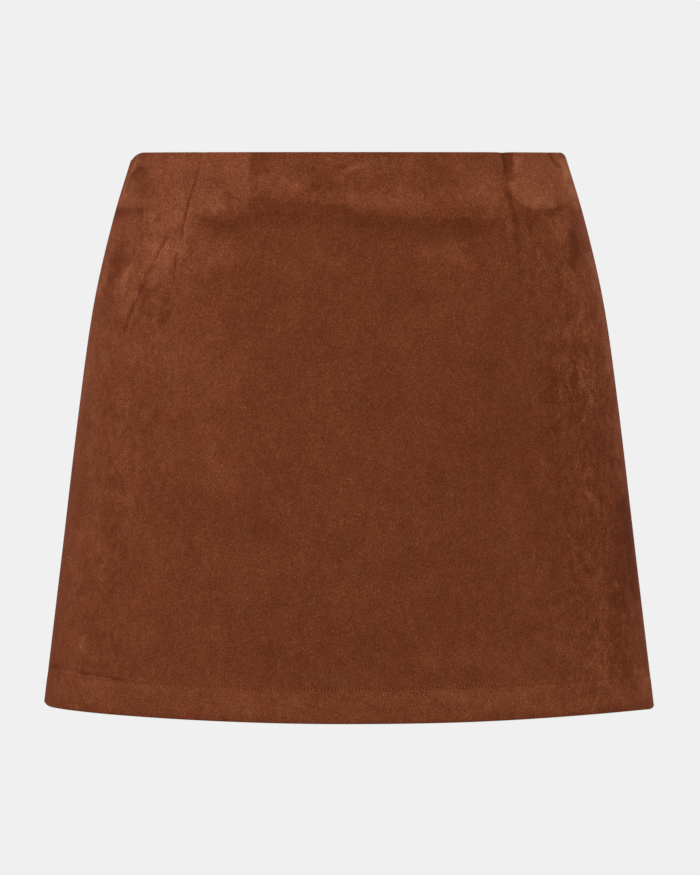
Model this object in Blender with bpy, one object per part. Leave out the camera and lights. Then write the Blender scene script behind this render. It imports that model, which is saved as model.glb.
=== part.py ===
"""High-waisted A-line mini skort, filled out as worn: an open skirt with shorts sewn inside it.

Metres, +Z up. The front faces -Y and the wearer's left is +X. The origin is the centre of the
waist opening, level with its edge. Angles go round the garment: 0 is the centre front, 90 the
left side seam, -90 the right one and 180 the centre back.
"""

import math
from collections import namedtuple

import bmesh
import bpy
from mathutils import Vector

# Driving dimensions
side_length = 0.378          # waist edge to hem at the side seams
cloth = 0.0015               # faux suede
hem_depth = 0.023            # cloth turned up at the hem
hem_fold = 0.0013            # the turned-up layer adds this inside
facing_depth = 0.045         # waist facing, edge to edge
facing_cloth = 0.0010
shorts_cloth = 0.0011
shorts_rise = 0.270          # waist edge to crotch
shorts_length = 0.335        # waist edge to leg hem
curve_start = 0.150          # where the crotch seams begin to curve in
leg_parting = 0.008          # from the middle to each leg at its hem
leg_front = 0.68             # a leg's reach to the front and back, as a share of the skirt's
leg_back = 0.73
zip_edges_close = 0.4        # share of the shorts, past 1, over which their back edges meet below the zip
shorts_step = 0.06           # share of the shorts that their slope is read over
seam_gap = 0.0003            # between neighbouring pieces
half_gap = seam_gap / 2
dart_length = 0.110
dart_angle = 43.8            # where the front darts lie
dart_trough = 0.0012         # how deep a dart's seam sinks in the outer face
dart_flank = 1.6             # degrees from the dart's seam to where the trough ends
dart_fade = 0.6              # share of the dart's length over which it dies away
zip_length = 0.180
zip_mouth = 0.0012           # half the gap the slider's neck stands in
zip_mouth_depth = 0.0115
tape_width = 0.0080
tape_thickness = 0.0006
chain_half_width = 0.0016
chain_thickness = 0.0013
chain_start = 0.0115
tape_start = 0.0030

# Zip slider and pull tab, measured down from the waist edge and out from the cloth
slider_size = (0.0060, 0.0025, 0.0072)       # across, through, along
slider_top = 0.0032
slider_run = 0.04                            # share of the skirt that the slider's slope is read over
slider_edge = 0.0005                         # rounding of its edges
arch_thickness = 0.0010
arch_top = 0.0036
arch_foot = 0.0088
arch_reach = 0.0046
arch_corner = 0.0008
arch_hole = (0.0017, 0.0037, 0.0047, 0.0076)  # nearest, farthest, highest, lowest
hole_corner = 0.0005
pivot_down = 0.0062
pivot_out = 0.0027
tab_thickness = 0.0009
tab_length = 0.0240
tab_top_width = 0.0046
tab_foot_width = 0.0058
tab_corner = 0.0012
tab_slot = (0.0022, 0.0042)                   # width, length below the pivot
slot_corner = 0.0006
tab_lean = 3.0                                # degrees in towards the cloth

# The skirt's outline by depth below the waist edge
Section = namedtuple("Section", "depth half_width front back roundness")
skirt_sections = (
    Section(0.000, 0.1460, 0.086, 0.098, 2.00),   # waist
    Section(0.045, 0.1601, 0.097, 0.113, 1.98),   # high hip
    Section(0.101, 0.1729, 0.106, 0.127, 1.92),
    Section(0.169, 0.1827, 0.112, 0.134, 1.82),   # hips
    Section(0.278, 0.1955, 0.117, 0.133, 1.68),
    Section(0.378, 0.2077, 0.121, 0.130, 1.58),   # hem, flatter in front and behind
)

# How far inside the skirt's outer face the shorts lie
Ease = namedtuple("Ease", "depth distance")
shorts_ease = (
    Ease(0.045, 0.0018),
    Ease(0.075, 0.0050),
    Ease(0.120, 0.0085),
    Ease(0.200, 0.0150),
    Ease(0.270, 0.0240),
    Ease(0.340, 0.0360),
)

# How far the waist and hem edges sit from level at each side seam, fading out over edge_turn degrees
EdgeTurn = namedtuple("EdgeTurn", "side waist_drop hem_lift")
edge_turns = (
    EdgeTurn(-90.0, 0.0046, 0.0036),
    EdgeTurn(90.0, 0.0026, 0.0008),
)
edge_turn = 20.0
hem_bow = 0.0115             # how strongly the hem rises between its middle and the side seams

# Where the faces' corners lie: degrees round the garment, and shares of the way down it
column_step = 6.0            # degrees
corner_steps = 3             # faces round a metal piece's corner
facing_share = facing_depth / side_length
waist_shares = [0.0, 0.5 * facing_share, facing_share]
hem_share = 1 - hem_depth / side_length
zip_share = zip_length / side_length
body_shares = [0.19, 0.26, 0.33, 0.40, zip_share, 0.56, 0.65, 0.74, 0.83]
hem_shares = [hem_share - 0.001, hem_share + 0.001, 1.0]
shorts_shares = [0.0, 0.2, 0.5, 1.0, 1.2, 1.4, 1.6, 1.8, 2.0, 2.33, 2.66, 3.0]

# Colours (linear) by finish: base colour, roughness, metallic
Finish = namedtuple("Finish", "colour roughness metallic")
suede = Finish((0.150, 0.037, 0.014, 1.0), 0.95, 0.0)
lining = Finish((0.105, 0.030, 0.014, 1.0), 0.85, 0.0)
zip_cloth = Finish((0.090, 0.026, 0.012, 1.0), 0.80, 0.0)
zip_metal = Finish((0.110, 0.040, 0.020, 1.0), 0.40, 1.0)


def clear_scene():
    for item in list(bpy.data.objects):
        bpy.data.objects.remove(item, do_unlink=True)


def material(name, finish):
    """A Principled material in the finish's colour."""
    made = bpy.data.materials.new(name)
    made.use_nodes = True
    made.diffuse_color = finish.colour
    shader = made.node_tree.nodes["Principled BSDF"]
    shader.inputs["Base Color"].default_value = finish.colour
    shader.inputs["Roughness"].default_value = finish.roughness
    shader.inputs["Metallic"].default_value = finish.metallic
    return made


def smooth(value):
    """0 to 1 with level ends."""
    t = min(max(value, 0.0), 1.0)
    return t * t * (3 - 2 * t)


def read_table(table, depth):
    """Each column of a table at a depth, on smooth curves through its rows."""
    rows = [list(row) for row in table]
    last = len(rows) - 1
    slopes = []
    for i in range(len(rows)):
        before = rows[max(i - 1, 0)]
        after = rows[min(i + 1, last)]
        slopes.append([(b - a) / (after[0] - before[0]) for a, b in zip(before, after)])
    if depth <= rows[0][0]:
        return [v + s * (depth - rows[0][0]) for v, s in zip(rows[0], slopes[0])]
    if depth >= rows[last][0]:
        return [v + s * (depth - rows[last][0]) for v, s in zip(rows[last], slopes[last])]
    i = max(k for k in range(last) if rows[k][0] <= depth)
    span = rows[i + 1][0] - rows[i][0]
    t = (depth - rows[i][0]) / span
    start = 2 * t**3 - 3 * t**2 + 1
    start_slope = t**3 - 2 * t**2 + t
    end = 3 * t**2 - 2 * t**3
    end_slope = t**3 - t**2
    return [
        start * a + start_slope * span * sa + end * b + end_slope * span * sb
        for a, b, sa, sb in zip(rows[i], rows[i + 1], slopes[i], slopes[i + 1])
    ]


def oval(angle, half_width, front, back, roundness):
    """A point of a flattened ring: an ellipse at roundness 2, two arcs that meet at 1."""
    across = math.sin(math.radians(angle))
    along = math.cos(math.radians(angle))
    reach = front if along >= 0 else back
    return half_width * across, -math.copysign(reach * abs(along) ** (2 / roundness), along)


def edge_shift(angle, column):
    """A column of edge_turns at an angle, full at its side seam and nothing edge_turn away."""
    total = 0.0
    for turn in edge_turns:
        away = abs((angle - turn.side + 180) % 360 - 180)
        total += getattr(turn, column) * smooth(1 - away / edge_turn)
    return total


def waist_depth(angle):
    return edge_shift(angle, "waist_drop")


def hem_level(angle):
    """The hem's depth: lowest at the middles and the seams, so that its front looks like one shallow bow."""
    along = abs(math.cos(math.radians(angle)))
    rise = hem_bow * (along ** (2 / skirt_sections[-1].roundness) - along**2)
    return side_length - rise - edge_shift(angle, "hem_lift")


def share_depth(angle, share):
    """Depth of a level of the skirt: 0 is its waist edge and 1 its hem."""
    top = waist_depth(angle)
    return top + share * (hem_level(angle) - top)


def dart_sink(angle, below):
    """How far the outer face sinks at a dart, with the distance below the waist edge."""
    sink = 0.0
    for middle in (dart_angle, -dart_angle, 180 - dart_angle, 180 + dart_angle):
        away = abs((angle - middle + 180) % 360 - 180) / dart_flank
        fade = smooth((dart_length - below) / (dart_length * dart_fade))
        sink += dart_trough * max(0.0, 1 - away) * fade
    return sink


def skirt_skin(angle, share):
    """The skirt's outer face; share is 0 at the waist edge and 1 at the hem."""
    depth = share_depth(angle, share)
    row = Section(*read_table(skirt_sections, depth))
    x, y = oval(angle, row.half_width, row.front, row.back, row.roundness)
    return Vector((x, y, -depth))


def outward(skin, angle, share, angle_step=0.8, share_step=0.01):
    """The unit direction out of a skin, by stepping a few degrees round it and a little down it."""
    across = skin(angle + angle_step, share) - skin(angle - angle_step, share)
    down = skin(angle, share + share_step) - skin(angle, share - share_step)
    return down.cross(across).normalized()


def skirt_layer(inset):
    """The skirt's skin moved in by a distance, darts and all."""
    def layer(angle, share):
        sink = dart_sink(angle, share * side_length)
        return skirt_skin(angle, share) - outward(skirt_skin, angle, share) * (inset + sink)
    return layer


def hem_inside(angle, share):
    """The skirt's inner face, thicker where the hem is turned up."""
    folded = share > 1 - hem_depth / side_length
    return skirt_layer(cloth + (hem_fold if folded else 0.0))(angle, share)


def shorts_skin(side):
    """The outer face of one side of the shorts: side is 1 for the wearer's left and -1 for the right.

    Its share runs from the facing's lower edge (0) past the crotch (2) to the leg hem (3). Down to
    1 it is half a ring. From 1 to 2 the half ring folds into a leg, its centre seam curving in
    under the body, and from 2 to 3 it is a leg.
    """
    def skin(angle, share):
        top = share_depth(angle, facing_share) + seam_gap
        if share <= 1:
            depth = top + share * (curve_start - top)
            folded = 0.0
        elif share <= 2:
            turn = math.radians(90 * (share - 1))
            depth = curve_start + math.sin(turn) * (shorts_rise - curve_start)
            folded = 1 - math.cos(turn)
        else:
            depth = shorts_rise + (share - 2) * (shorts_length - shorts_rise)
            folded = 1.0
        row = Section(*read_table(skirt_sections, depth))
        ease = read_table(shorts_ease, depth)[1]
        skirt_share = (depth - waist_depth(angle)) / (hem_level(angle) - waist_depth(angle))
        ring = skirt_layer(ease)(angle, skirt_share)
        parting = half_gap + leg_parting * smooth(share - 2)
        middle = (row.half_width - ease + parting) / 2
        radius = (row.half_width - ease - parting) / 2
        # a quarter of the body becomes half a leg, so the leg's ring is read at twice the angle
        from_front = (side * angle + 90) % 360 - 90
        front_half = from_front <= 90
        turned = math.radians(2 * (from_front if front_half else 180 - from_front) - 90)
        reach = -leg_front * row.front if front_half else leg_back * row.back
        leg_x = side * (middle + radius * math.sin(turned))
        leg_y = reach * math.cos(turned)
        return ring.lerp(Vector((leg_x, leg_y, ring.z)), folded)
    return skin


def shorts_layer(inset, side):
    """The shorts' skin moved in by a distance, its back edges open down to the foot of the zip."""
    skin = shorts_skin(side)

    def layer(angle, share):
        from_back = angle - 180
        if abs(from_back) <= zip_angle + 0.01:
            angle = 180 + from_back * (1 - smooth((share - 1) / zip_edges_close))
        return skin(angle, share) - outward(skin, angle, share, share_step=shorts_step) * inset
    return layer


def keep_in(point, quarter):
    """Hold a point on its own side of the seams: quarter gives the sign of X and Y, or 0."""
    if quarter[0]:
        point.x = quarter[0] * max(quarter[0] * point.x, half_gap)
    if quarter[1]:
        point.y = quarter[1] * max(quarter[1] * point.y, half_gap)
    return point


def add_object(name, mesh_builder, finish_material):
    mesh = bpy.data.meshes.new(name)
    bmesh.ops.recalc_face_normals(mesh_builder, faces=mesh_builder.faces)
    mesh_builder.to_mesh(mesh)
    mesh_builder.free()
    mesh.shade_smooth()
    mesh.set_sharp_from_angle(angle=math.radians(40))
    mesh.materials.append(finish_material)
    made = bpy.data.objects.new(name, mesh)
    bpy.context.collection.objects.link(made)
    return made


def add_wall(name, columns, shares, outer, inner, quarter, finish_material):
    """A closed wall of cloth between two layers, over columns round and shares down."""
    builder = bmesh.new()
    grids = []
    for layer in (outer, inner):
        grid = []
        for share in shares:
            grid.append([builder.verts.new(keep_in(layer(angle, share), quarter)) for angle in columns])
        grids.append(grid)
    rows_count = len(shares)
    columns_count = len(columns)
    for grid in grids:
        for i in range(rows_count - 1):
            for j in range(columns_count - 1):
                builder.faces.new((grid[i][j], grid[i][j + 1], grid[i + 1][j + 1], grid[i + 1][j]))
    front, back = grids
    for i in (0, rows_count - 1):
        for j in range(columns_count - 1):
            builder.faces.new((front[i][j], front[i][j + 1], back[i][j + 1], back[i][j]))
    for j in (0, columns_count - 1):
        for i in range(rows_count - 1):
            builder.faces.new((front[i][j], front[i + 1][j], back[i + 1][j], back[i][j]))
    return add_object(name, builder, finish_material)


def spread(start, end, count):
    return [start + (end - start) * i / count for i in range(count + 1)]


def angle_across(distance):
    """The angle that spans a distance from the centre back at the waist edge."""
    return math.degrees(math.asin(distance / skirt_sections[0].half_width))


zip_angle = angle_across(zip_mouth + tape_width + seam_gap)


def columns_between(start, end, clear_of_zip=False):
    """Angles between two seams: even, with one on each dart's seam and one on each of its flanks.

    Near the centre back there is one at the edge of the zip's tape, and clear_of_zip ends there.
    """
    columns = spread(start, end, round((end - start) / column_step))
    for middle in (dart_angle, -dart_angle, 180 - dart_angle, 180 + dart_angle):
        if start < middle < end:
            columns = [a for a in columns if abs(a - middle) > 2 * dart_flank]
            columns += [middle - dart_flank, middle, middle + dart_flank]
    if 180 in (start, end):
        inward = 1 if start == 180 else -1
        columns.append(180 + inward * zip_angle)
        if clear_of_zip:
            columns.remove(180)
    return sorted(columns)


def add_skirt(finish_material):
    shares = waist_shares + body_shares + hem_shares
    outer = skirt_layer(0.0)
    add_wall("skirt_front", columns_between(-90, 90), shares, outer, hem_inside, (0, -1), finish_material)
    for name, sign, start, end in (("skirt_back_left", 1, 90, 180), ("skirt_back_right", -1, 180, 270)):
        panel = add_wall(name, columns_between(start, end), shares, outer, hem_inside, (sign, 1),
                         finish_material)
        open_zip_mouth(panel, sign)


def open_zip_mouth(panel, sign):
    """Draw the centre back edge aside above the slider."""
    for vertex in panel.data.vertices:
        at_edge = abs(vertex.co.x) < 2 * seam_gap
        if at_edge and vertex.co.z > -zip_mouth_depth:
            vertex.co.x = sign * zip_mouth


def add_facings(finish_material):
    outer_inset = cloth + seam_gap
    outer = skirt_layer(outer_inset)
    inner = skirt_layer(outer_inset + facing_cloth)
    pieces = (
        ("facing_front", -90, 90, (0, -1)),
        ("facing_back_left", 90, 180, (1, 1)),
        ("facing_back_right", 180, 270, (-1, 1)),
    )
    for name, start, end, quarter in pieces:
        columns = columns_between(start, end, clear_of_zip=True)
        add_wall(name, columns, waist_shares, outer, inner, quarter, finish_material)


def add_shorts(finish_material):
    pieces = (
        ("shorts_front_left", 0, 90, (1, -1)),
        ("shorts_front_right", -90, 0, (-1, -1)),
        ("shorts_back_left", 90, 180, (1, 1)),
        ("shorts_back_right", 180, 270, (-1, 1)),
    )
    for name, start, end, quarter in pieces:
        columns = columns_between(start, end, clear_of_zip=True)
        outer = shorts_layer(0.0, quarter[0])
        inner = shorts_layer(shorts_cloth, quarter[0])
        add_wall(name, columns, shorts_shares, outer, inner, quarter, finish_material)


def add_zip(tape_material, metal_material):
    """Two tapes on the back panels' inner faces, with the chain on the tapes."""
    below_waist = [share for share in waist_shares + body_shares if 0 < share <= zip_share]
    tape_inset = cloth + seam_gap
    tape_angles = (angle_across(zip_mouth), angle_across(zip_mouth + tape_width))
    for name, side in (("zip_tape_left", -1), ("zip_tape_right", 1)):
        columns = sorted(180 + side * angle for angle in tape_angles)
        shares = [tape_start / side_length] + below_waist
        add_wall(name, columns, shares, skirt_layer(tape_inset), skirt_layer(tape_inset + tape_thickness),
                 (0, 0), tape_material)
    chain_inset = tape_inset + tape_thickness + seam_gap
    chain_angle = angle_across(chain_half_width)
    add_wall("zip_chain", [180 - chain_angle, 180, 180 + chain_angle],
             [chain_start / side_length] + below_waist,
             skirt_layer(chain_inset), skirt_layer(chain_inset + chain_thickness), (0, 0), metal_material)


def round_rectangle(low, high, radius):
    """Points round a rectangle with arcs at its corners, from (a, b) lowest to (a, b) highest."""
    points = []
    corners = (
        (high[0] - radius, high[1] - radius, 0),
        (low[0] + radius, high[1] - radius, 90),
        (low[0] + radius, low[1] + radius, 180),
        (high[0] - radius, low[1] + radius, 270),
    )
    for a, b, start in corners:
        for step in range(corner_steps + 1):
            turn = math.radians(start + 90 * step / corner_steps)
            points.append((a + radius * math.cos(turn), b + radius * math.sin(turn)))
    return points


def add_ring_plate(name, outer, inner, thickness, place, finish_material):
    """A flat plate with one hole: two loops of as many points each, put in space by place(a, b, t)."""
    builder = bmesh.new()
    loops = [
        [builder.verts.new(place(a, b, t)) for a, b in points]
        for t in (-thickness / 2, thickness / 2)
        for points in (outer, inner)
    ]
    count = len(outer)
    for first, second in ((0, 1), (2, 3), (0, 2), (1, 3)):
        for i in range(count):
            j = (i + 1) % count
            builder.faces.new((loops[first][i], loops[first][j], loops[second][j], loops[second][i]))
    return add_object(name, builder, finish_material)


def add_slider(metal_material):
    """The zip's slider inside the cloth, with its arch through the seam, and the pull tab on the arch.

    Both are made lying along the centre back: X across, Y out from the cloth and Z up along it.
    """
    edge = skirt_skin(180, 0)
    run = skirt_skin(180, slider_run) - edge
    slope = math.atan2(run.y, -run.z)
    out = Vector((0, math.cos(slope), math.sin(slope)))
    up = Vector((0, -math.sin(slope), math.cos(slope)))

    inner_face = -(cloth + 2 * seam_gap + tape_thickness)
    across, through, along = slider_size
    builder = bmesh.new()
    bmesh.ops.create_cube(builder, size=1.0)
    bmesh.ops.scale(builder, vec=(across, through, along), verts=builder.verts)
    middle = (0, inner_face - through / 2, -slider_top - along / 2)
    bmesh.ops.translate(builder, vec=middle, verts=builder.verts)
    slider = add_object("zip_slider", builder, metal_material)
    bevel = slider.modifiers.new("rounded edges", "BEVEL")
    bevel.width = slider_edge
    bevel.segments = 2
    slider.location = edge
    slider.rotation_euler.x = slope

    arch_outer = round_rectangle((inner_face - through / 2, -arch_foot), (arch_reach, -arch_top), arch_corner)
    near, far, high, low = arch_hole
    arch_inner = round_rectangle((near, -low), (far, -high), hole_corner)
    arch = add_ring_plate("slider_arch", arch_outer, arch_inner, arch_thickness,
                          lambda a, b, t: Vector((t, a, b)), metal_material)
    arch.parent = slider
    arch.hide_render = True
    arch.display_type = "WIRE"
    union = slider.modifiers.new("arch", "BOOLEAN")
    union.operation = "UNION"
    union.solver = "EXACT"
    union.object = arch

    slot_width, slot_length = tab_slot
    slot_low = (-slot_width / 2, -slot_length)
    slot_high = (slot_width / 2, -tab_thickness / 2)
    tab_inner = round_rectangle(slot_low, slot_high, slot_corner)
    tab = add_ring_plate("zip_pull", tab_outline(), tab_inner, tab_thickness,
                         lambda a, b, t: Vector((a, t, b)), metal_material)
    tab.location = edge + out * pivot_out - up * pivot_down
    tab.rotation_euler.x = slope - math.radians(tab_lean)


def tab_outline():
    """The pull tab's outline, wider towards its foot."""
    top = tab_thickness / 2
    outline = round_rectangle((-tab_top_width / 2, -tab_length), (tab_top_width / 2, top), tab_corner)
    widened = []
    for a, b in outline:
        share = (top - b) / (top + tab_length)
        widened.append((a * (1 + share * (tab_foot_width / tab_top_width - 1)), b))
    return widened


def main():
    clear_scene()
    suede_material = material("suede", suede)
    lining_material = material("lining", lining)
    zip_cloth_material = material("zip cloth", zip_cloth)
    zip_metal_material = material("zip metal", zip_metal)
    add_skirt(suede_material)
    add_facings(lining_material)
    add_shorts(lining_material)
    add_zip(zip_cloth_material, zip_metal_material)
    add_slider(zip_metal_material)


main()
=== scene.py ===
import math

import bmesh
import bpy
import numpy as np
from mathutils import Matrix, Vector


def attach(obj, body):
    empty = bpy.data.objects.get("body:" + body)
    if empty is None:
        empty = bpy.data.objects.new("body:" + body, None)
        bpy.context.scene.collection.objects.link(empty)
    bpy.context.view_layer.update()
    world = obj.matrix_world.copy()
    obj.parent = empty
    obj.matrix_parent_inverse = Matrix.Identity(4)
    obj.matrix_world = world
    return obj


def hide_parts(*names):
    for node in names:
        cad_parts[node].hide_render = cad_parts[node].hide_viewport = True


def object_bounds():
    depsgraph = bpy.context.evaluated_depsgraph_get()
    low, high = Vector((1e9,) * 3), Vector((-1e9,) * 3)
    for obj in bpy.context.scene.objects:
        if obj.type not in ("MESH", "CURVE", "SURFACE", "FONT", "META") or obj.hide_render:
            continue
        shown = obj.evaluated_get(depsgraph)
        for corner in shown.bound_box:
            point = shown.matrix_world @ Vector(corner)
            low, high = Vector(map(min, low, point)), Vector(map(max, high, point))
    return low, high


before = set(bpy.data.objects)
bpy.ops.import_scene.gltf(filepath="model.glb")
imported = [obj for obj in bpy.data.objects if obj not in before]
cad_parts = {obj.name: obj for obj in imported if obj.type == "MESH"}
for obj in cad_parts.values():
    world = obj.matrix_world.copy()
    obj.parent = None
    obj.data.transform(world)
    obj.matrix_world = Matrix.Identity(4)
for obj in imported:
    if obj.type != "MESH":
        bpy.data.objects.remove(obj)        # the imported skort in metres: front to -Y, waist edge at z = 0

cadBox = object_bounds()
print("frame loaded")

studio = {
    "cameraPlace": (0.0008, -4.1, -0.01954),
    "cameraTilt": 2.4304,                  # degrees down from level
    "lens": 248.65,
    "backdrop": (0.871, 0.871, 0.871, 1.0),
    "groundLevel": -0.95,
    "groundRadius": 2.9,
    "groundColour": (0.06, 0.06, 0.06, 1.0),
    "groundGlow": 0.786,                   # evens out the lamps' pools of light
}

lamps = [
    {"name": "keyLamp", "place": (-2.5, -1.9, 1.4), "size": 1.6, "power": 62.0, "colour": (1.0, 0.985, 1.0)},
    {"name": "fillLamp", "place": (2.4, -1.2, 0.7), "size": 1.6, "power": 20.5, "colour": (1.0, 0.90, 0.74)},
    {"name": "backLamp", "place": (1.2, 2.6, 1.3), "size": 1.4, "power": 26.0, "colour": (1.0, 0.98, 0.96)},
]


def setCamera():
    camera = bpy.data.objects.new("camera", bpy.data.cameras.new("camera"))
    camera.data.lens = studio["lens"]
    camera.data.sensor_width = 36.0
    camera.data.clip_end = 50.0
    camera.location = studio["cameraPlace"]
    camera.rotation_euler = (math.radians(90.0 - studio["cameraTilt"]), 0.0, 0.0)
    bpy.context.collection.objects.link(camera)
    bpy.context.scene.camera = camera


def setLamps(target):
    for lamp in lamps:
        light = bpy.data.lights.new(lamp["name"], "AREA")
        light.shape = "DISK"
        light.size = lamp["size"]
        light.energy = lamp["power"]
        light.color = lamp["colour"]
        item = bpy.data.objects.new(lamp["name"], light)
        item.location = lamp["place"]
        item.rotation_euler = (target - item.location).to_track_quat("-Z", "Y").to_euler()
        bpy.context.collection.objects.link(item)


def setWorld():
    world = bpy.data.worlds.new("studio")
    world.use_nodes = True
    world.node_tree.nodes["Background"].inputs["Color"].default_value = studio["backdrop"]
    bpy.context.scene.world = world
    bpy.context.scene.view_settings.view_transform = "Standard"


def setGround():
    sheet = bmesh.new()
    bmesh.ops.create_circle(sheet, cap_ends=True, segments=96, radius=studio["groundRadius"])
    mesh = bpy.data.meshes.new("ground")
    sheet.to_mesh(mesh)
    sheet.free()
    ground = bpy.data.objects.new("ground", mesh)
    ground.location.z = studio["groundLevel"]
    paint = bpy.data.materials.new("groundPaint")
    paint.use_nodes = True
    shader = paint.node_tree.nodes["Principled BSDF"]
    shader.inputs["Base Color"].default_value = studio["groundColour"]
    shader.inputs["Emission Color"].default_value = (1.0, 1.0, 1.0, 1.0)
    shader.inputs["Emission Strength"].default_value = studio["groundGlow"]
    shader.inputs["Roughness"].default_value = 1.0
    shader.inputs["Specular IOR Level"].default_value = 0.0
    mesh.materials.append(paint)
    bpy.context.collection.objects.link(ground)


setCamera()
setWorld()
setLamps((cadBox[0] + cadBox[1]) / 2)
setGround()
print("studio set")


class Value:
    # a number in a material: an expression on it adds the Math nodes
    def __init__(self, finish, socket):
        self.finish = finish
        self.socket = socket

    def math(self, operation, first, second=None):
        made = self.finish.node("ShaderNodeMath", {"operation": operation}, {0: first})
        if second is not None:
            self.finish.feed(made.inputs[1], second)
        return Value(self.finish, made.outputs[0])

    def __add__(self, other):
        return self.math("ADD", self, other)

    def __radd__(self, other):
        return self.math("ADD", other, self)

    def __sub__(self, other):
        return self.math("SUBTRACT", self, other)

    def __rsub__(self, other):
        return self.math("SUBTRACT", other, self)

    def __mul__(self, other):
        return self.math("MULTIPLY", self, other)

    def __rmul__(self, other):
        return self.math("MULTIPLY", other, self)

    def sine(self):
        return self.math("SINE", self)

    def size(self):
        return self.math("ABSOLUTE", self)

    def clamped(self):
        return self.math("MINIMUM", self.math("MAXIMUM", self, 0.0), 1.0)


class Finish:
    # a material, and the means to add nodes to it
    def __init__(self, name):
        self.material = bpy.data.materials.new(name)
        self.material.use_nodes = True
        self.tree = self.material.node_tree
        self.shader = self.tree.nodes["Principled BSDF"]

    def feed(self, slot, value):
        if isinstance(value, Value):
            value = value.socket
        if isinstance(value, bpy.types.NodeSocket):
            self.tree.links.new(value, slot)
        else:
            slot.default_value = value

    def node(self, kind, settings, values):
        made = self.tree.nodes.new(kind)
        for key, setting in settings.items():
            if key == "stops":
                while len(made.color_ramp.elements) < len(setting):
                    made.color_ramp.elements.new(0.5)
                for element, (place, colour) in zip(made.color_ramp.elements, setting):
                    element.position = place
                    element.color = (*colour, 1.0)
            else:
                setattr(made, key, setting)
        for key, value in values.items():
            self.feed(made.inputs[key], value)
        return made

    def noise(self, size, detail, roughness=0.5, stretch=(1.0, 1.0, 1.0), distortion=0.0):
        # spots about size metres across, in the garment's own coordinates
        place = self.node("ShaderNodeTexCoord", {}, {}).outputs["Object"]
        scaled = self.node("ShaderNodeVectorMath", {"operation": "MULTIPLY"}, {0: place, 1: stretch})
        made = self.node("ShaderNodeTexNoise", {}, {
            "Vector": scaled.outputs[0], "Scale": 1.0 / size, "Detail": detail,
            "Roughness": roughness, "Distortion": distortion})
        return Value(self, made.outputs["Fac"])

    def stored(self, name):
        # a number kept on the cloth's points
        return Value(self, self.node("ShaderNodeAttribute", {"attribute_name": name}, {}).outputs["Fac"])

    def ramp(self, shade, stops):
        return self.node("ShaderNodeValToRGB", {"stops": stops}, {"Fac": shade}).outputs["Color"]

    def mixed(self, share, first, second, blend="MIX"):
        settings = {"data_type": "RGBA", "blend_type": blend}
        return self.node("ShaderNodeMix", settings, {0: share, 6: first, 7: second}).outputs[2]

    def bump(self, height, depth, strength):
        made = self.node("ShaderNodeBump", {}, {"Height": height, "Distance": depth, "Strength": strength})
        self.feed(self.shader.inputs["Normal"], made.outputs[0])

    def surface(self, values):
        for key, value in values.items():
            self.feed(self.shader.inputs[key], value)


def shown(red, green, blue, gain=1.0):
    # a colour as a screen shows it, 0 to 255, in the shader's linear numbers
    return tuple(gain * (c / 12.92 if c <= 0.04045 else ((c + 0.055) / 1.055) ** 2.4)
                 for c in (red / 255, green / 255, blue / 255))


suedeLook = {
    "tones": [(0.00, (66, 26, 8)), (0.34, (91, 42, 23)), (0.50, (107, 54, 32)), (0.66, (130, 71, 46)),
              (1.00, (174, 114, 82))],
    "gain": 0.78,                  # how much of the shown colour is the cloth's own
    "sheen": 0.05,
    "sheenTint": (1.0, 0.54, 0.36, 1.0),
    "sheenRoughness": 0.34,
    "grain": 0.0009,
    "grainDepth": 0.74,
    "mottle": 0.0055,
    "mottleDepth": 0.20,
    "cloud": 0.026,
    "cloudDepth": 0.16,
    # how strongly the strokes' painted light and shade show
    "napAndPaintedLightDepth": 0.14,
    # more mottle where the nap is crushed, and painted glancing light on the sides
    "crushAndGlancingLightDepth": 0.66,
    "crushAndGlancingLightGrain": 0.95,            # how much coarser the grain is where the nap is crushed, and painted glancing light on the sides
    "patch": 0.014,                # spots of slightly redder and browner cloth
    "redder": (1.022, 0.975, 1.0, 1.0),
    "browner": (0.98, 1.022, 0.985, 1.0),
    # how dark the painted shade in the needle holes is
    "needleHoleShadeDepth": 0.28,
}

backingLook = {"tones": [(0.2, (92, 46, 27)), (0.8, (126, 72, 48))], "gain": 0.8, "rib": 0.0009}
knitLook = {"tones": [(0.1, (72, 35, 20)), (0.9, (102, 54, 34))], "gain": 0.85, "rib": 0.0011}
tapeLook = {"tones": [(0.1, (88, 43, 24)), (0.9, (122, 64, 40))], "gain": 0.85, "rib": 0.0009}
coilLook = {"tones": [(0.3, (78, 38, 22)), (0.7, (106, 56, 36))], "spots": 0.0006, "roughness": 0.40,
            "shine": 0.4, "metallic": 0.0, "depth": 0.00002}
enamelLook = {"tones": [(0.3, (90, 46, 27)), (0.7, (108, 58, 36))], "spots": 0.0024, "roughness": 0.34,
              "shine": 0.5, "metallic": 0.35, "depth": 0.00002}
suedeThreadLook = {"tones": [(0.3, (104, 52, 28)), (0.7, (136, 78, 48))], "spots": 0.0004, "roughness": 0.8,
                   "shine": 0.02, "metallic": 0.0, "depth": 0.00008}
knitThreadLook = {"tones": [(0.3, (76, 38, 22)), (0.7, (112, 62, 40))], "spots": 0.0004, "roughness": 0.8,
                  "shine": 0.02, "metallic": 0.0, "depth": 0.00008}


def toned(look):
    return [(place, shown(*tone, look.get("gain", 1.0))) for place, tone in look["tones"]]


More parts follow.
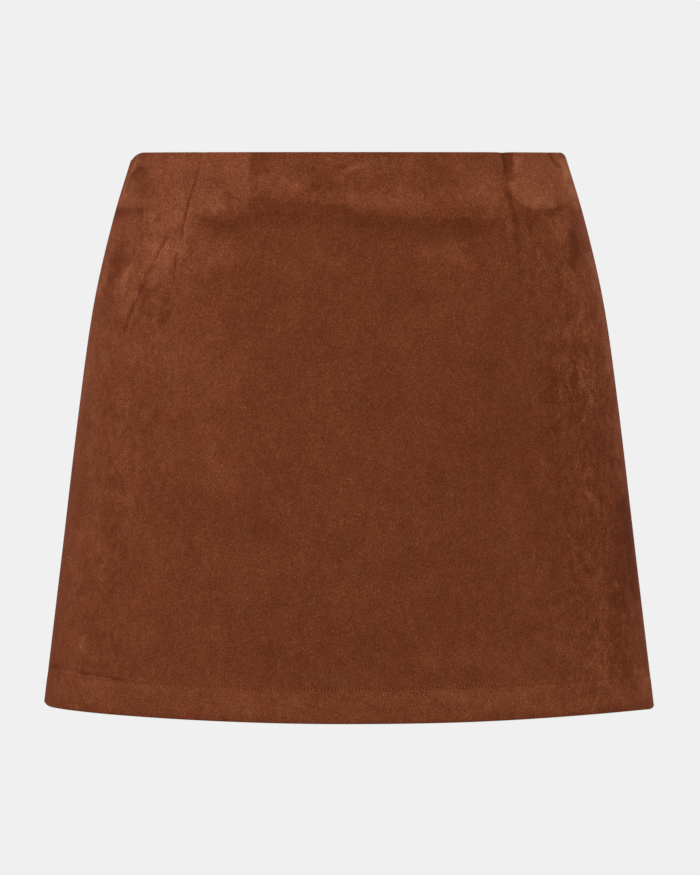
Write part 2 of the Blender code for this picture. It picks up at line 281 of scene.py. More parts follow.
def makeSuede(look):
    cloth = Finish("fauxSuede")
    # crushed nap, and painted glancing light on the sides: more mottle and coarser grain there
    crush = cloth.stored("crush")
    grain = cloth.noise(look["grain"], 2.0, 0.6, (1.0, 1.0, 0.88)) - 0.5
    rough = 1.0 + crush * crush * look["crushAndGlancingLightGrain"]
    mottle = cloth.noise(look["mottle"], 5.0, 0.65, (1.0, 1.0, 0.7), 0.5) - 0.5
    cloud = cloth.noise(look["cloud"], 3.0, 0.5, (1.0, 1.0, 0.8), 0.6) - 0.5
    # the stored strokes paint light and shade, together with the nap's own marks
    nap = cloth.stored("nap")
    # painted shade in the needle holes of the hem's stitch row, dotted at each stitch
    needle = ((cloth.stored("stitch") + 0.25) * (2 * math.pi)).sine()
    hole = cloth.stored("hole") * (0.38 + needle * 0.62)
    shade = 0.5 + nap * look["napAndPaintedLightDepth"] + cloud * look["cloudDepth"] + grain * rough * look["grainDepth"]
    shade = shade + mottle * (look["mottleDepth"] + crush * look["crushAndGlancingLightDepth"]) - hole * look["needleHoleShadeDepth"]
    shade = shade.clamped()
    patch = ((cloth.noise(look["patch"], 3.0, 0.6) - 0.5) * 3.0 + 0.5).clamped()
    tint = cloth.mixed(patch, look["browner"], look["redder"])
    cloth.surface({
        "Base Color": cloth.mixed(1.0, cloth.ramp(shade, toned(look)), tint, "MULTIPLY"),
        "Roughness": 0.94 - 0.08 * shade,
        "Specular IOR Level": 0.02, "Sheen Weight": look["sheen"], "Sheen Tint": look["sheenTint"],
        "Sheen Roughness": look["sheenRoughness"]})
    cloth.bump(grain * 0.6 + mottle * (0.5 + crush * 0.6), 0.0008, 0.6)
    return cloth.material


def makeKnit(name, look, sheen):
    # fine wales down the cloth and courses across it
    cloth = Finish(name)
    turns = 2 * math.pi / look["rib"]
    wale = (cloth.stored("around") * turns).sine()
    course = (cloth.stored("down") * (turns * 0.8)).sine()
    loop = wale * 0.6 + course * 0.4
    cloud = cloth.noise(0.02, 3.0) - 0.5
    shade = (0.5 + loop * 0.16 + cloud * 0.6).clamped()
    cloth.surface({
        "Base Color": cloth.ramp(shade, toned(look)), "Roughness": 0.90 - 0.08 * shade,
        "Specular IOR Level": 0.04, "Sheen Weight": sheen, "Sheen Tint": suedeLook["sheenTint"],
        "Sheen Roughness": 0.5})
    cloth.bump(loop, 0.0002, 0.5)
    return cloth.material


def makeTape(look):
    # a herringbone of fine ribs
    cloth = Finish("zipTape")
    turns = 2 * math.pi / look["rib"]
    lean = (cloth.stored("around") * (turns * 0.35)).sine().size()
    rib = ((cloth.stored("down") + lean * 0.0009) * turns).sine()
    shade = (0.5 + rib * 0.35).clamped()
    cloth.surface({
        "Base Color": cloth.ramp(shade, toned(look)), "Roughness": 0.8 - 0.1 * shade,
        "Specular IOR Level": 0.05})
    cloth.bump(rib, 0.0002, 0.5)
    return cloth.material


def makeFine(name, look):
    # thread, coil and enamel: fine spots in two tones
    finish = Finish(name)
    shade = finish.noise(look["spots"], 3.0)
    finish.surface({
        "Base Color": finish.ramp(shade, toned(look)), "Roughness": look["roughness"] + (shade - 0.5) * 0.2,
        "Metallic": look["metallic"], "Specular IOR Level": look["shine"]})
    finish.bump(shade, look["depth"], 0.4)
    return finish.material


suede = makeSuede(suedeLook)
backing = makeKnit("suedeBacking", backingLook, 0.1)
knit = makeKnit("shortsKnit", knitLook, 0.15)
tapeCloth = makeTape(tapeLook)
coilNylon = makeFine("coilNylon", coilLook)
enamel = makeFine("zipEnamel", enamelLook)
suedeThread = makeFine("suedeThread", suedeThreadLook)
knitThread = makeFine("knitThread", knitThreadLook)
print("finishes made")


skirtForm = {                        # the skirt's outline by depth below the waist edge, in metres
    "depth": [0.000, 0.045, 0.101, 0.169, 0.278, 0.378],
    "halfWidth": [0.1460, 0.1596, 0.1726, 0.1825, 0.1956, 0.2077],
    "front": [0.086, 0.097, 0.106, 0.112, 0.117, 0.121],
    "back": [0.098, 0.113, 0.127, 0.134, 0.133, 0.130],
    "roundness": [2.00, 1.98, 1.92, 1.82, 1.68, 1.58],
}

skirtCut = {
    "length": 0.378,
    "cloth": 0.0015,
    "turnedEdge": 0.0026,            # thickness where the waist edge is turned in
    "turnedDepth": 0.0040,
    "hem": 0.0245,
    "hemThickness": 0.0028,
    "stitchRow": 0.0230,             # hem stitches, up from the hem
    "seamGap": 0.0003,
    "seamRoll": 0.0014,              # how near a seam the cloth starts to turn in
    "seamSink": 0.0009,
    # by side seam, in degrees: how far from it an edge starts to leave its level, and by how much
    "waistDrop": {-90.0: (0.0074, 0.0048), 90.0: (0.0028, 0.0020)},
    "hemLift": {-90.0: (0.0060, 0.0024), 90.0: (0.0030, 0.0011)},
    "hemSlope": {-90.0: (0.050, 0.0013)},
    "hemTilt": 0.0003,               # the hem lies lower towards the wearer's left
    "backSlope": 62.0,               # degrees behind a side seam over which both edges come level
    "hemBow": 0.0115,                # how much higher the hem hangs between the middle and the sides
    "needleHoleShadeReach": 0.0006,             # half width of the painted shade line of the needle holes
    "zipMouth": 0.0012,              # half the gap above the zip's slider
    "mouthDepth": 0.0225,
    "mouthSpread": 0.003,            # how far to each side the cloth gives way
}

skirtLength = skirtCut["length"]


def smooth(value):
    t = np.clip(value, 0.0, 1.0)
    return t * t * (3 - 2 * t)


def tableAt(table, column, depth):
    # a smooth curve through a table's rows, and a straight line past its ends
    knots = np.array(table["depth"])
    values = np.array(table[column])
    slopes = np.empty(len(knots))
    slopes[1:-1] = (values[2:] - values[:-2]) / (knots[2:] - knots[:-2])
    slopes[0] = (values[1] - values[0]) / (knots[1] - knots[0])
    slopes[-1] = (values[-1] - values[-2]) / (knots[-1] - knots[-2])
    row = np.clip(np.searchsorted(knots, depth, side="right") - 1, 0, len(knots) - 2)
    span = knots[row + 1] - knots[row]
    t = np.clip((depth - knots[row]) / span, 0.0, 1.0)
    curve = (2 * t**3 - 3 * t**2 + 1) * values[row] + (t**3 - 2 * t**2 + t) * span * slopes[row]
    curve = curve + (3 * t**2 - 2 * t**3) * values[row + 1] + (t**3 - t**2) * span * slopes[row + 1]
    above = np.minimum(depth - knots[0], 0.0) * slopes[0]
    below = np.maximum(depth - knots[-1], 0.0) * slopes[-1]
    return curve + above + below


def sideShift(angle, shifts, halfWidth):
    # an edge leaves level at each side seam, rounded like a corner in front and in a long slope behind
    arc = 0.97                                           # how far round a quarter circle the corner goes
    turning = 0.9                                        # share of the reach over which it goes there
    total = 0.0
    for side, (reach, size) in shifts.items():
        towards = np.sin(np.radians(angle * side / 90))
        over = arc * np.clip((reach - (1 - towards) * halfWidth) / (turning * reach), 0, 1)
        corner = (1 - np.sqrt(1 - over**2)) / (1 - math.sqrt(1 - arc**2))
        slope = 1 - smooth(np.degrees(np.arccos(np.clip(towards, -1, 1))) / skirtCut["backSlope"])
        total = total + size * np.where(np.cos(np.radians(angle)) >= 0, corner, slope)
    return total


def waistDepth(angle):
    return sideShift(angle, skirtCut["waistDrop"], skirtForm["halfWidth"][0])


def hemDepth(angle):
    along = np.abs(np.cos(np.radians(angle)))
    rise = skirtCut["hemBow"] * (along ** (2 / skirtForm["roundness"][-1]) - along**2)
    slope = sideShift(angle, skirtCut["hemSlope"], skirtForm["halfWidth"][-1])
    return skirtLength - rise - slope + skirtCut["hemTilt"] * smooth(np.sin(np.radians(angle)) * 2)


def shareDepth(angle, share):
    # 0 is the waist edge and 1 the hem
    top = waistDepth(angle)
    corner = sideShift(angle, skirtCut["hemLift"], skirtForm["halfWidth"][-1])
    return top + share * (hemDepth(angle) - top) - corner * smooth((share - 0.95) / 0.05)


def skirtSkin(angle, share):
    # the outer face: angle 0 is the centre front and 90 the left side seam
    angle, share = np.broadcast_arrays(angle, share)
    depth = shareDepth(angle, share)
    across = np.sin(np.radians(angle))
    along = np.cos(np.radians(angle))
    reach = np.where(along >= 0, tableAt(skirtForm, "front", depth), tableAt(skirtForm, "back", depth))
    y = -np.sign(along) * reach * np.abs(along) ** (2 / tableAt(skirtForm, "roundness", depth))
    return np.stack([tableAt(skirtForm, "halfWidth", depth) * across, y, -depth], axis=-1)


def unit(vectors):
    return vectors / np.linalg.norm(vectors, axis=-1, keepdims=True)


def outward(skin, angle, share, shareStep=0.01):
    across = skin(angle + 0.8, share) - skin(angle - 0.8, share)
    down = skin(angle, share + shareStep) - skin(angle, share - shareStep)
    return unit(np.cross(down, across))


# Below, places are in millimetres: across from the middle to the wearer's left, and down from the waist.
# A line's places follow one another.
darts = [
    # angle is the line's place by depth, line how far the sewn line sinks, hollow the softer dip beside it
    {"depth": [0, 15, 36, 70, 108], "angle": [-42.2, -42.4, -43.3, -43.7, -44.2],
     "line": [0.2, 0.7, 0.6, 0.35, 0.15], "hollow": [0.3, 0.5, 0.5, 0.4, 0.5], "width": 3.0},
    {"depth": [0, 15, 36, 70, 108], "angle": [45.0, 44.1, 44.6, 43.5, 42.6],
     "line": [0.65, 0.4, 0.2, 0.15, 0.1], "hollow": [1.2, 0.9, 0.5, 0.3, 0.2], "width": 3.6},
    {"depth": [0, 15, 40, 80, 120], "angle": [136.6, 136.4, 136.2, 135.8, 135.5],
     "line": [0.9, 0.8, 0.7, 0.4, 0.15], "hollow": [0.8, 0.7, 0.5, 0.4, 0.4], "width": 3.4},
    {"depth": [0, 15, 40, 80, 120], "angle": [223.5, 223.7, 223.9, 224.3, 224.6],
     "line": [0.9, 0.8, 0.6, 0.4, 0.15], "hollow": [0.6, 0.6, 0.5, 0.5, 0.5], "width": 3.0},
]

# Folds: a bent line, the fold's half width and its height, a ridge (+) or a trough (-).
frontFolds = [
    ((-117.6, 53.7, -122, 60, -127, 66.4), 2.6, -0.5),
    ((-136, 86, -142.5, 100, -150, 120), 3.6, -0.9),
    ((-131, 84, -136, 100, -143, 122), 7.0, 0.5),
    ((-133, 10, -142, 13, -146, 22), 2.4, -0.9),
    ((134, 0, 138, 6, 144, 15), 2.0, -0.6),
    ((-6, 20.5, 5, 14, 13, 8.5), 2.2, -0.45),
    ((-121, 107, -124, 109, -125.6, 114), 3.4, -1.0),
    ((-74, 112, -58, 108, -30, 96), 9.0, -0.5),
    ((-10, 130, 4, 133, 20, 128), 8.0, -0.4),
    ((38, 220, 52, 217, 70, 222), 9.0, -0.4),
    ((-75, 252, -58, 249, -40, 246), 10.0, -0.4),
    ((150, 170, 160, 195, 163, 230), 12.0, -0.5),
    ((168, 215, 174, 260, 177, 320), 8.0, -0.9),
    ((-150, 160, -158, 220, -168, 300), 16.0, 0.7),
]

backFolds = [
    ((112, 60, 118, 72, 124, 82), 3.0, -0.5),
    ((-128, 78, -136, 96, -141, 118), 4.0, -0.8),
    ((136, 8, 142, 14, 146, 24), 2.6, -0.8),
    ((40, 118, 62, 112, 80, 116), 9.0, -0.5),
    ((-70, 150, -48, 144, -24, 150), 10.0, -0.5),
    ((12, 205, 30, 199, 52, 204), 9.0, -0.4),
    ((-12, 196, -9, 215, -14, 240), 6.0, -0.5),
    ((150, 170, 160, 220, 168, 300), 14.0, -0.6),
    ((-150, 150, -159, 210, -170, 310), 15.0, 0.7),
]

facingStep = {
    # where the facing's lower edge shows through: its depth and the drop past it, by place across
    "across": [-160, -152, -136, -118, -96, -59, -6, 48, 88, 104, 118, 148, 165],
    "depth": [35, 36, 39, 46, 48, 42, 44, 49, 53, 51, 36, 41, 44],
    "drop": [0.2, 0.7, 0.5, 0.1, 0.8, 1.1, 1.0, 1.1, 1.2, 0.7, 1.0, 0.9, 0.3],
    "width": 12.0,
    "reach": 70.0,
}

# Painted light and shade, with the nap's own marks, drawn as strokes: a bent line, half the stroke's width,
# its edge's softness and how much lighter (+) or darker (-) it lies. A fifth number keeps a stroke to the
# right of its line as it's walked (down from a line drawn towards the wearer's left), and says how softly it
# meets that line.
frontNapAndPaintedLight = [
    # broad painted light and shade
    ((-140, 18, 140, 18), 20, 22, 0.3),
    ((-112, 5, 100, 5), 7, 6, 0.22),
    ((-134, 60, -150, 130, -164, 200), 12, 18, 0.36),
    ((112, 46, 130, 104), 12, 18, 0.3),
    ((-110, 130, -140, 300), 26, 40, 0.18),
    ((-98, 14, -93, 32), 9, 7, 0.45),
    ((-98, 50, -92, 68, -80, 64), 8, 6, 0.4),
    ((-108, 34, -110, 92), 8, 8, 0.42),
    ((-118, 74, -120, 82, -128, 98), 3, 4, 0.5),
    ((145, 32, 146, 50, 150, 90, 158, 112, 165, 124), 4, 4, 0.48),
    ((66, 106, 70, 124), 12, 10, 0.3),
    ((80, 26, 96, 36), 6, 6, 0.22),
    ((-70, 150, -68, 220), 8, 10, 0.2),
    ((168, 300, 172, 344), 8, 10, 0.18),
    ((-172, 228, -174, 262), 6, 6, 0.25),
    # painted sheen along the outer edges, where the cloth turns away
    ((-144, 26, -145, 42, -150, 54, -146, 64, -148, 80, -157, 92), 4, 4, 0.5),
    ((-171, 116, -175, 150), 4, 5, 0.42),
    ((-141.5, 5, -146, 12), 1.6, 1.6, 1.1),
    ((-148, 17, -154, 37), 2.5, 2.5, 0.95),
    ((-156, 50, -160, 62, -167, 94), 3, 3, 0.7),
    ((-166, 84, -175, 118, -180, 160, -185, 210), 2, 3, 0.55),
    ((146, 8, 150, 22, 154, 36), 3, 2, 0.9),
    ((156.5, 44, 161, 60), 1.5, 2, 0.5),
    ((163, 70, 170, 102, 176, 146), 2, 2.5, 0.9),
    # painted light on the cloth between the wearer's right dart and side seam, and painted shade in its
    # creases
    ((-122, 14, -125, 60), 14, 7, 0.5),
    ((-124, 66, -134, 84), 8, 4, 0.5),
    ((-150, 84, -148, 104), 8, 5, 0.55),
    ((-112, 66, -106, 74), 5, 4, 0.25),
    ((-98, 64, -95, 79), 3, 3, 0.45),
    ((-88, 38, -82, 42), 3, 3, 0.6),
    ((-134, 46, -131, 56), 2, 2.5, 0.45),
    ((-151, 27, -148.5, 18, -144.5, 11.5, -139.5, 9.5), 2.6, 2, -1.1, 0.8),
    ((-140, 18, -136, 24), 6, 5, -0.5),
    ((-132, 10.5, -128, 10.5, -120, 12), 0.5, 0.8, -0.5),
    ((-158, 37.5, -150, 37.5, -138, 37), 5, 5, -1.0, 1.0),
    ((-138, 37.5, -131, 38), 1, 1.5, -0.4),
    ((-151, 64, -157, 78, -161, 92), 4, 4, -0.6),
    ((-99, 6, -101, 17, -104, 25, -108, 36.5, -110, 46, -111.5, 57), 0.45, 0.8, -0.9),
    ((-111, 58, -109.5, 44, -106, 32), 3, 1.5, 0.4, 0.8),
    ((-115, 68, -116, 76, -117.5, 88), 0.5, 0.9, -0.9),
    ((-121, 56, -124, 61, -128, 67.5), 0.6, 0.9, -1.4),
    ((-128, 67.5, -132, 76, -137, 86), 0.7, 1.0, -1.1),
    ((-133, 76, -131, 78), 1.2, 1.5, -0.4),
    ((-136, 87, -138, 89), 1.2, 1.4, -0.7),
    ((-139, 89, -143, 100, -147.5, 109, -151, 119), 1.0, 1.2, -1.2),
    ((-151, 119, -147.5, 109, -143, 100, -139, 89), 8, 5, -0.45, 1.5),
    ((-105.5, 68, -109.5, 73.5), 0.5, 0.8, -1.1),
    ((-109.5, 75.5, -104, 80), 0.5, 0.8, -1.1),
    ((-121, 107, -124.5, 113), 2.0, 2.5, -0.8),
    # painted light over the facing, and painted shade past its edge
    ((-66, -4, -66, 16, -65, 24, -66, 40), 22, 14, 0.36, 1.2),
    ((-97, 20, -93, 18.5, -88, 18.5), 0.5, 0.8, -1.0),
    ((-83, 26.5, -76, 31, -71, 33), 0.5, 0.8, -1.0),
    ((-102, 41, -95, 43, -88, 46, -80, 45.5, -72, 42, -67, 40.5), 8, 6, -0.55, 1.4),
    ((-67, 30.5, -58, 30, -52, 31, -40, 33, -20, 34, 0, 36, 8, 41, 20, 43, 42, 43.5,
      62, 44, 80, 44, 104, 44), 12, 9, -0.5, 1.6),
    ((-66, 41, -46, 40.5, -32, 40), 9, 5, -0.4, 1.5),
    ((73, 45, 82, 45), 7, 3, -0.36, 1.5),
    ((-65.5, 15, -65.5, -3), 12, 5, -0.45, 1.0),
    ((-58, 18, -42, 20), 7, 5, 0.32),
    ((-40, 12, -24, 13, -20, 20), 5, 4, -0.3),
    ((-18, 8, -12, 14), 5, 4, -0.3),
    ((-7, 11, -2, 9.5), 1.3, 1.3, -0.75),
    ((-5, 19, -4.5, 15, 3, 11.5, 11, 8), 1.5, 1.4, 0.75),
    ((-24, 22.5, -14, 23.5, -6, 23), 1.0, 1.4, -0.55),
    ((2, 2.5, 18, 2, 36, 3), 1.5, 2, -0.4),
    ((54, 8, 64, 12), 5, 4, -0.35),
    ((52, 18, 60, 19), 3, 3, -0.35),
    ((4, 31, 20, 33, 40, 34, 60, 31), 5, 4, 0.4),
    ((66, 30, 96, 28), 6, 5, 0.3),
    ((-8, 30, 4, 30), 3, 3, 0.25),
    ((82, 18, 98, 22), 7, 6, 0.4),
    ((48, 66, 56, 68), 4.5, 3, 0.38),
    ((66, 64, 78, 72), 6, 4, 0.45),
    ((-86, 66, -70, 70), 8, 8, 0.22),
    ((-62, 78, -68, 92), 5, 6, -0.25),
    ((-20, 75, -4, 72), 3, 3, 0.35),
    ((-45, 95, -30, 95), 4, 5, -0.25),
    ((-60, 116, -46, 112), 5, 5, -0.25),
    ((-8, 134, 2, 134), 6, 6, -0.3),
    ((-147, 116, -140, 117), 3, 3, 0.5),
    ((18, 8, 18, 20), 3, 3, 0.3),
    ((44, 96, 58, 97), 4, 4, -0.4),
    ((66, 134, 94, 140), 5, 6, -0.28),
    ((11, 36, 15, 38), 2, 2, 0.45),
    ((136, 122, 150, 120), 4, 3, 0.45),
    ((128, 135, 146, 142), 3, 3, 0.45),
    # painted light and shade by the wearer's left dart and side seam
    ((105.5, 19, 103.6, 12, 102, -3), 1.5, 1.5, -0.5, 0.7),
    ((109.4, -3, 109.4, 14.5), 6, 1, -0.95, 0.7),
    ((106, 27, 108, 32, 110, 39, 111, 46), 1.4, 1.4, -0.6),
    ((139, 36.5, 130, 38.5, 124, 38.5, 118, 36, 112, 32, 108, 26, 106.5, 20), 8, 7, 0.95, 1.2),
    ((122, 5, 136, 24), 13, 3, 0.8),
    ((112, 6, 113, 20, 124, 33), 3.5, 3, 0.6),
    ((134, 33, 140, 34), 2.5, 2, -0.5),
    ((139.5, 1, 143, 7, 147, 16), 1.5, 1.6, 0.8),
    ((153, 82, 162, 98), 4, 4, 0.4),
    ((134, -1, 137.5, 5, 141.5, 10), 0.6, 0.9, -1.0),
    ((112, 40, 118, 44, 124, 48), 5, 4, -0.5),
    ((133, 42, 139, 38, 145, 37), 1.8, 1.6, -0.8),
    ((137, 42, 133, 46), 2, 2, -0.5),
    ((111, 42, 112, 50, 113, 66), 1.8, 1.6, -0.45),
    ((108, 50, 109, 60), 2, 2, 0.25),
    ((138, 44, 141, 58), 5, 4, 0.55),
    ((130, 54, 136, 58), 3, 3, 0.3),
    ((151, 56, 152, 62, 150.5, 75), 3.2, 2.2, -0.85),
    ((128, 104, 131, 114), 4, 5, -0.25),
    ((152, 128, 156, 136), 4, 4, -0.35),
    ((133, 146, 137, 160, 150, 170), 7, 8, -0.32),
    ((156, 110, 158, 124), 4, 5, 0.3),
    ((156, 148, 160, 160, 165, 168), 3.4, 4, 0.36),
    # the wearer's left: painted shade where it turns from the light and painted sheen at its edge, with
    # rubbed nap
    ((136, 190, 141, 216), 6, 7, -0.3),
    ((66, 176, 76, 190), 8, 7, -0.28),
    ((14, 276, 34, 278), 7, 6, -0.25),
    ((82, 248, 98, 254), 6, 6, -0.2),
    ((131, 182, 144, 180), 3, 4, -0.3),
    ((166, 260, 180, 262), 3, 4, -0.35),
    ((180, 176, 184, 214, 187, 250), 2.5, 3, 0.5),
    ((166, 190, 171, 198, 176, 207), 3.6, 4, -0.5),
    ((150, 232, 154, 256), 6, 7, -0.25),
    ((159, 225, 168, 238), 1.3, 1.8, 0.65),
    ((184, 226, 186, 258, 184, 284, 181, 302), 5.5, 5, -0.65),
    ((186, 236, 191, 266, 194, 300), 3, 2.5, -1.1),
    ((182, 304, 184, 340, 191, 358), 4, 5, -0.35),
    ((180, 290.5, 182, 292), 2, 1.6, 0.95),
    ((165, 341, 171, 350), 3.2, 3, 0.5),
    ((162, 330, 169, 333), 2.6, 3, 0.35),
    ((139, 306, 144, 314), 4, 5, 0.5),
    ((54, 334, 72, 334), 8, 8, 0.28),
    ((94, 338, 116, 336), 8, 7, 0.28),
    ((134, 328, 158, 340), 7, 7, 0.32),
    ((130, 372, 182, 368), 4, 4, 0.35),
    ((199, 352, 201, 368), 3, 4, 0.95),
    # painted light and shade on the wearer's right, further down, with the nap's marks
    ((-120, 128, -92, 150), 16, 16, 0.22),
    ((-96, 170, -91, 198, -84, 216), 8, 9, 0.28),
    ((-174, 160, -171, 172), 5, 6, 0.28),
    ((-165, 136, -166, 145), 3, 3, 0.4),
    ((-158, 174, -163, 184), 5, 5, -0.45),
    ((-177, 250, -183, 262, -186, 300, -190, 320), 4, 4, 0.4),
    ((-165, 226, -150, 233), 4, 5, 0.35),
    ((-168, 345, -152, 356), 5, 4, -0.45),
    ((-146, 284, -136, 279), 4, 4, -0.4),
    ((-46, 254, -26, 252), 8, 8, -0.22),
    ((-148, 208, -144, 228), 7, 8, 0.22),
    ((-160, 244, -155, 260), 5, 7, -0.32),
    ((-58, 247, -51, 250), 3.6, 5, -0.45),
    ((-72, 228, -64, 236), 7, 8, -0.22),
    ((-171, 314, -170, 322), 3, 5, -0.38),
    ((-181, 330, -176, 337), 5, 5, 0.65),
    ((-178, 256, -168, 262), 5, 7, 0.25),
    ((-55, 332, -28, 345), 8, 10, -0.25),
    ((10, 324, 38, 332), 7, 9, -0.2),
    # the hem: painted light on the folded hem and painted shade along its lower edge
    ((-190, 352, -164, 352, -135, 357), 3.6, 4, 0.3),
    ((-74, 364, -38, 364), 7, 4, 0.18),
    ((58, 357, 78, 360), 4, 4, 0.36),
    ((86, 362, 118, 367), 6, 5, 0.36),
    ((126, 357, 138, 358), 4, 4, 0.3),
    ((-190, 360, 0, 368, 190, 360), 10, 4, 0.34),
    ((-14, 361, 74, 361), 6, 4, 0.16),
    ((-100, 354, 60, 356, 160, 353), 3, 4, 0.13),
    ((-88, 352, -80, 353), 4, 4, 0.22),
    ((-204, 346.8, -188, 348.8, -165, 350.9, -150, 352.2), 0.8, 0.9, -1.2),
    ((186, 344, 188, 360), 5, 6, -0.36),
    # painted highlights and shade beside the creases
    ((-101, 79, -96, 80), 4, 5, 0.36),
    ((-127, 84, -117, 75), 4, 5, 0.36),
    ((-149, 24, -147, 40), 3, 4, 0.34),
    ((-106, 33, -78, 34), 5, 6, 0.22),
    ((-165, 124, -158, 126), 4, 4, 0.32),
    ((156, 284, 168, 276), 5, 7, -0.28),
    ((172, 214, 182, 211), 4, 5, -0.36),
    ((107, 8, 108, 34), 2, 3, 0.28),
    ((148, 30, 149, 40), 3, 4, 0.26),
    ((148, 122, 162, 124), 3, 4, 0.28),
    ((155, 158, 156, 182), 3, 4, 0.22),
    ((160, 226, 167, 239), 1.2, 1.6, 0.42),
    ((-120, 376, -40, 381, 30, 382), 2, 3, -0.22),
]

frontCrushAndGlancingLight = [
    # where the nap is rubbed up and shows uneven, and painted glancing light where the sides turn from the
    # light
    ((142, 70, 156, 140), 22, 30, 0.55),
    ((158, 170, 172, 340), 22, 30, 0.66),
    ((-130, 40, -150, 200, -175, 350), 22, 40, 0.3),
    ((-80, 20, 60, 20, 110, 40), 26, 20, 0.15),
]

# painted light and shade behind, dark along the folds and past the facing's edge, with the nap's marks
backNapAndPaintedLight = [
    ((-120, 12, -116, 34), 14, 9, 0.38),
    ((-84, 8, -78, 28), 13, 5, 0.35),
    ((-50, 24, -16, 27), 7, 6, 0.35),
    ((18, 30, 52, 26, 78, 30), 6, 5, 0.4),
    ((92, 8, 110, 24), 12, 5, 0.35),
    ((130, 10, 136, 28), 8, 4, 0.3),
    ((-92, 46, -52, 50, -14, 47), 7, 4, -0.5),
    ((14, 46, 44, 50, 96, 44), 7, 4, -0.5),
    ((116, 42, 140, 40), 4, 4, -0.5),
    ((-148, 42, -120, 44), 4, 4, -0.45),
    ((-30, 4, -8, 8), 4, 4, -0.35),
    ((36, 4, 62, 7), 4, 4, -0.3),
    ((112, 60, 118, 72, 125, 84), 1.4, 2, -0.75),
    ((-128, 78, -136, 96, -141, 118), 1.5, 2, -0.85),
    ((-120, 76, -126, 100), 5, 5, 0.35),
    ((136, 8, 142, 14, 146, 24), 1.5, 2, -0.8),
    ((102, 92, 106, 108), 4, 5, -0.35),
    ((40, 118, 62, 112, 80, 116), 7, 8, -0.25),
    ((-80, 72, -66, 80), 6, 6, 0.35),
    ((-70, 150, -48, 144, -24, 150), 8, 9, -0.22),
    ((60, 150, 66, 190), 8, 9, 0.25),
    ((-100, 160, -108, 196), 8, 9, 0.28),
    ((12, 205, 30, 199, 52, 204), 7, 8, -0.25),
    ((150, 150, 156, 176), 5, 6, -0.4),
    ((166, 210, 172, 250), 5, 5, -0.45),
    ((158, 262, 164, 276), 3, 4, 0.5),
    ((-152, 190, -158, 240), 8, 9, 0.3),
    ((-172, 250, -176, 300), 6, 6, -0.4),
    ((-60, 284, -36, 300), 9, 12, -0.22),
    ((84, 300, 110, 318), 8, 10, 0.22),
    ((-150, 356, -120, 361), 5, 4, 0.36),
    ((-76, 364, -44, 366), 6, 4, 0.32),
    ((30, 364, 64, 362), 6, 4, 0.36),
    ((110, 360, 136, 357), 5, 4, 0.36),
]

# where the nap is rubbed up, and painted glancing light where the sides turn from the light
backCrushAndGlancingLight = [
    ((150, 90, 164, 330), 20, 30, 0.6),
    ((-140, 60, -165, 300), 18, 34, 0.5),
    ((-90, 20, 90, 20), 26, 20, 0.5),
]


def alongLine(line, x, d):
    # distance from a bent line, the share of it passed, and how far to its right and past its ends
    points = list(zip(line[::2], line[1::2]))
    best = np.full(x.shape, 1e9)
    share = np.zeros(x.shape)
    right = np.zeros(x.shape)
    past = np.full(x.shape, -1e9)
    lengths = [math.dist(a, b) for a, b in zip(points, points[1:])]
    done = 0.0
    for (ax, ad), (bx, bd), length in zip(points, points[1:], lengths):
        run = ((x - ax) * (bx - ax) + (d - ad) * (bd - ad)) / length**2
        t = np.clip(run, 0.0, 1.0)
        away = np.hypot(x - ax - t * (bx - ax), d - ad - t * (bd - ad))
        nearer = away < best
        best = np.where(nearer, away, best)
        share = np.where(nearer, (done + t * length) / sum(lengths), share)
        right = np.where(nearer, ((bx - ax) * (d - ad) - (bd - ad) * (x - ax)) / length, right)
        if done == 0.0:
            past = -run * length
        done += length
    return best, share, right, np.maximum(past, (run - 1) * length)


def foldLift(folds, x, d):
    total = np.zeros(x.shape)
    for line, width, height in folds:
        away, share, right, past = alongLine(line, x, d)
        fade = 0.35 + 0.65 * np.sin(np.pi * share)           # a fold is weaker towards its ends
        total += height * fade * np.exp(-((away / width) ** 2))
    return total


def strokes(table, x, d):
    # broad strokes have a slightly uneven edge
    total = np.zeros(x.shape)
    waverX = 1.3 * np.sin(d / 3.1 + x / 7.3) + 0.9 * np.sin(d / 1.7 - x / 4.1 + 1.0)
    waverD = 1.2 * np.sin(x / 3.7 + d / 8.9) + 0.8 * np.sin(x / 1.9 - d / 5.3 + 2.0)
    # each stroke adds painted light or shade, a mark of the nap, or crushed nap
    for line, half, soft, nap, *edge in table:
        waver = min([1.0, soft / 4] + [e / 4 for e in edge])
        away, share, right, past = alongLine(line, x + waver * waverX, d + waver * waverD)
        amount = smooth((half + soft - away) / (2 * soft))
        for sharpness in edge:
            amount = amount * smooth(right / sharpness + 0.5) * smooth(0.5 - past / sharpness)
        total += nap * amount
    return total


def stepLift(x, d):
    # the cloth drops a little past the facing's lower edge, and comes back further down
    past = d - np.interp(x, facingStep["across"], facingStep["depth"])
    drop = np.interp(x, facingStep["across"], facingStep["drop"])
    return -drop * smooth(past / facingStep["width"] + 0.5) * (1 - smooth(past / facingStep["reach"] - 0.15))


stitchedLine = 0.55  # half width of a dart's sewn line
perDegree = 2.15  # millimetres round the waist
dartFade = 8.0  # millimetres past a dart's end over which it fades out


def dartSink(angle, d):
    total = np.zeros(d.shape)
    for dart in darts:
        line = np.interp(d, dart["depth"], dart["line"])
        hollow = np.interp(d, dart["depth"], dart["hollow"])
        fade = 1 - smooth((d - dart["depth"][-1]) / dartFade)
        away = (angle - np.interp(d, dart["depth"], dart["angle"]) + 180) % 360 - 180
        away = away * perDegree * (1 + d / 400)
        total += fade * line * np.exp(-((away / stitchedLine) ** 2))
        total += fade * hollow * np.exp(-((away / dart["width"]) ** 2))
    return total


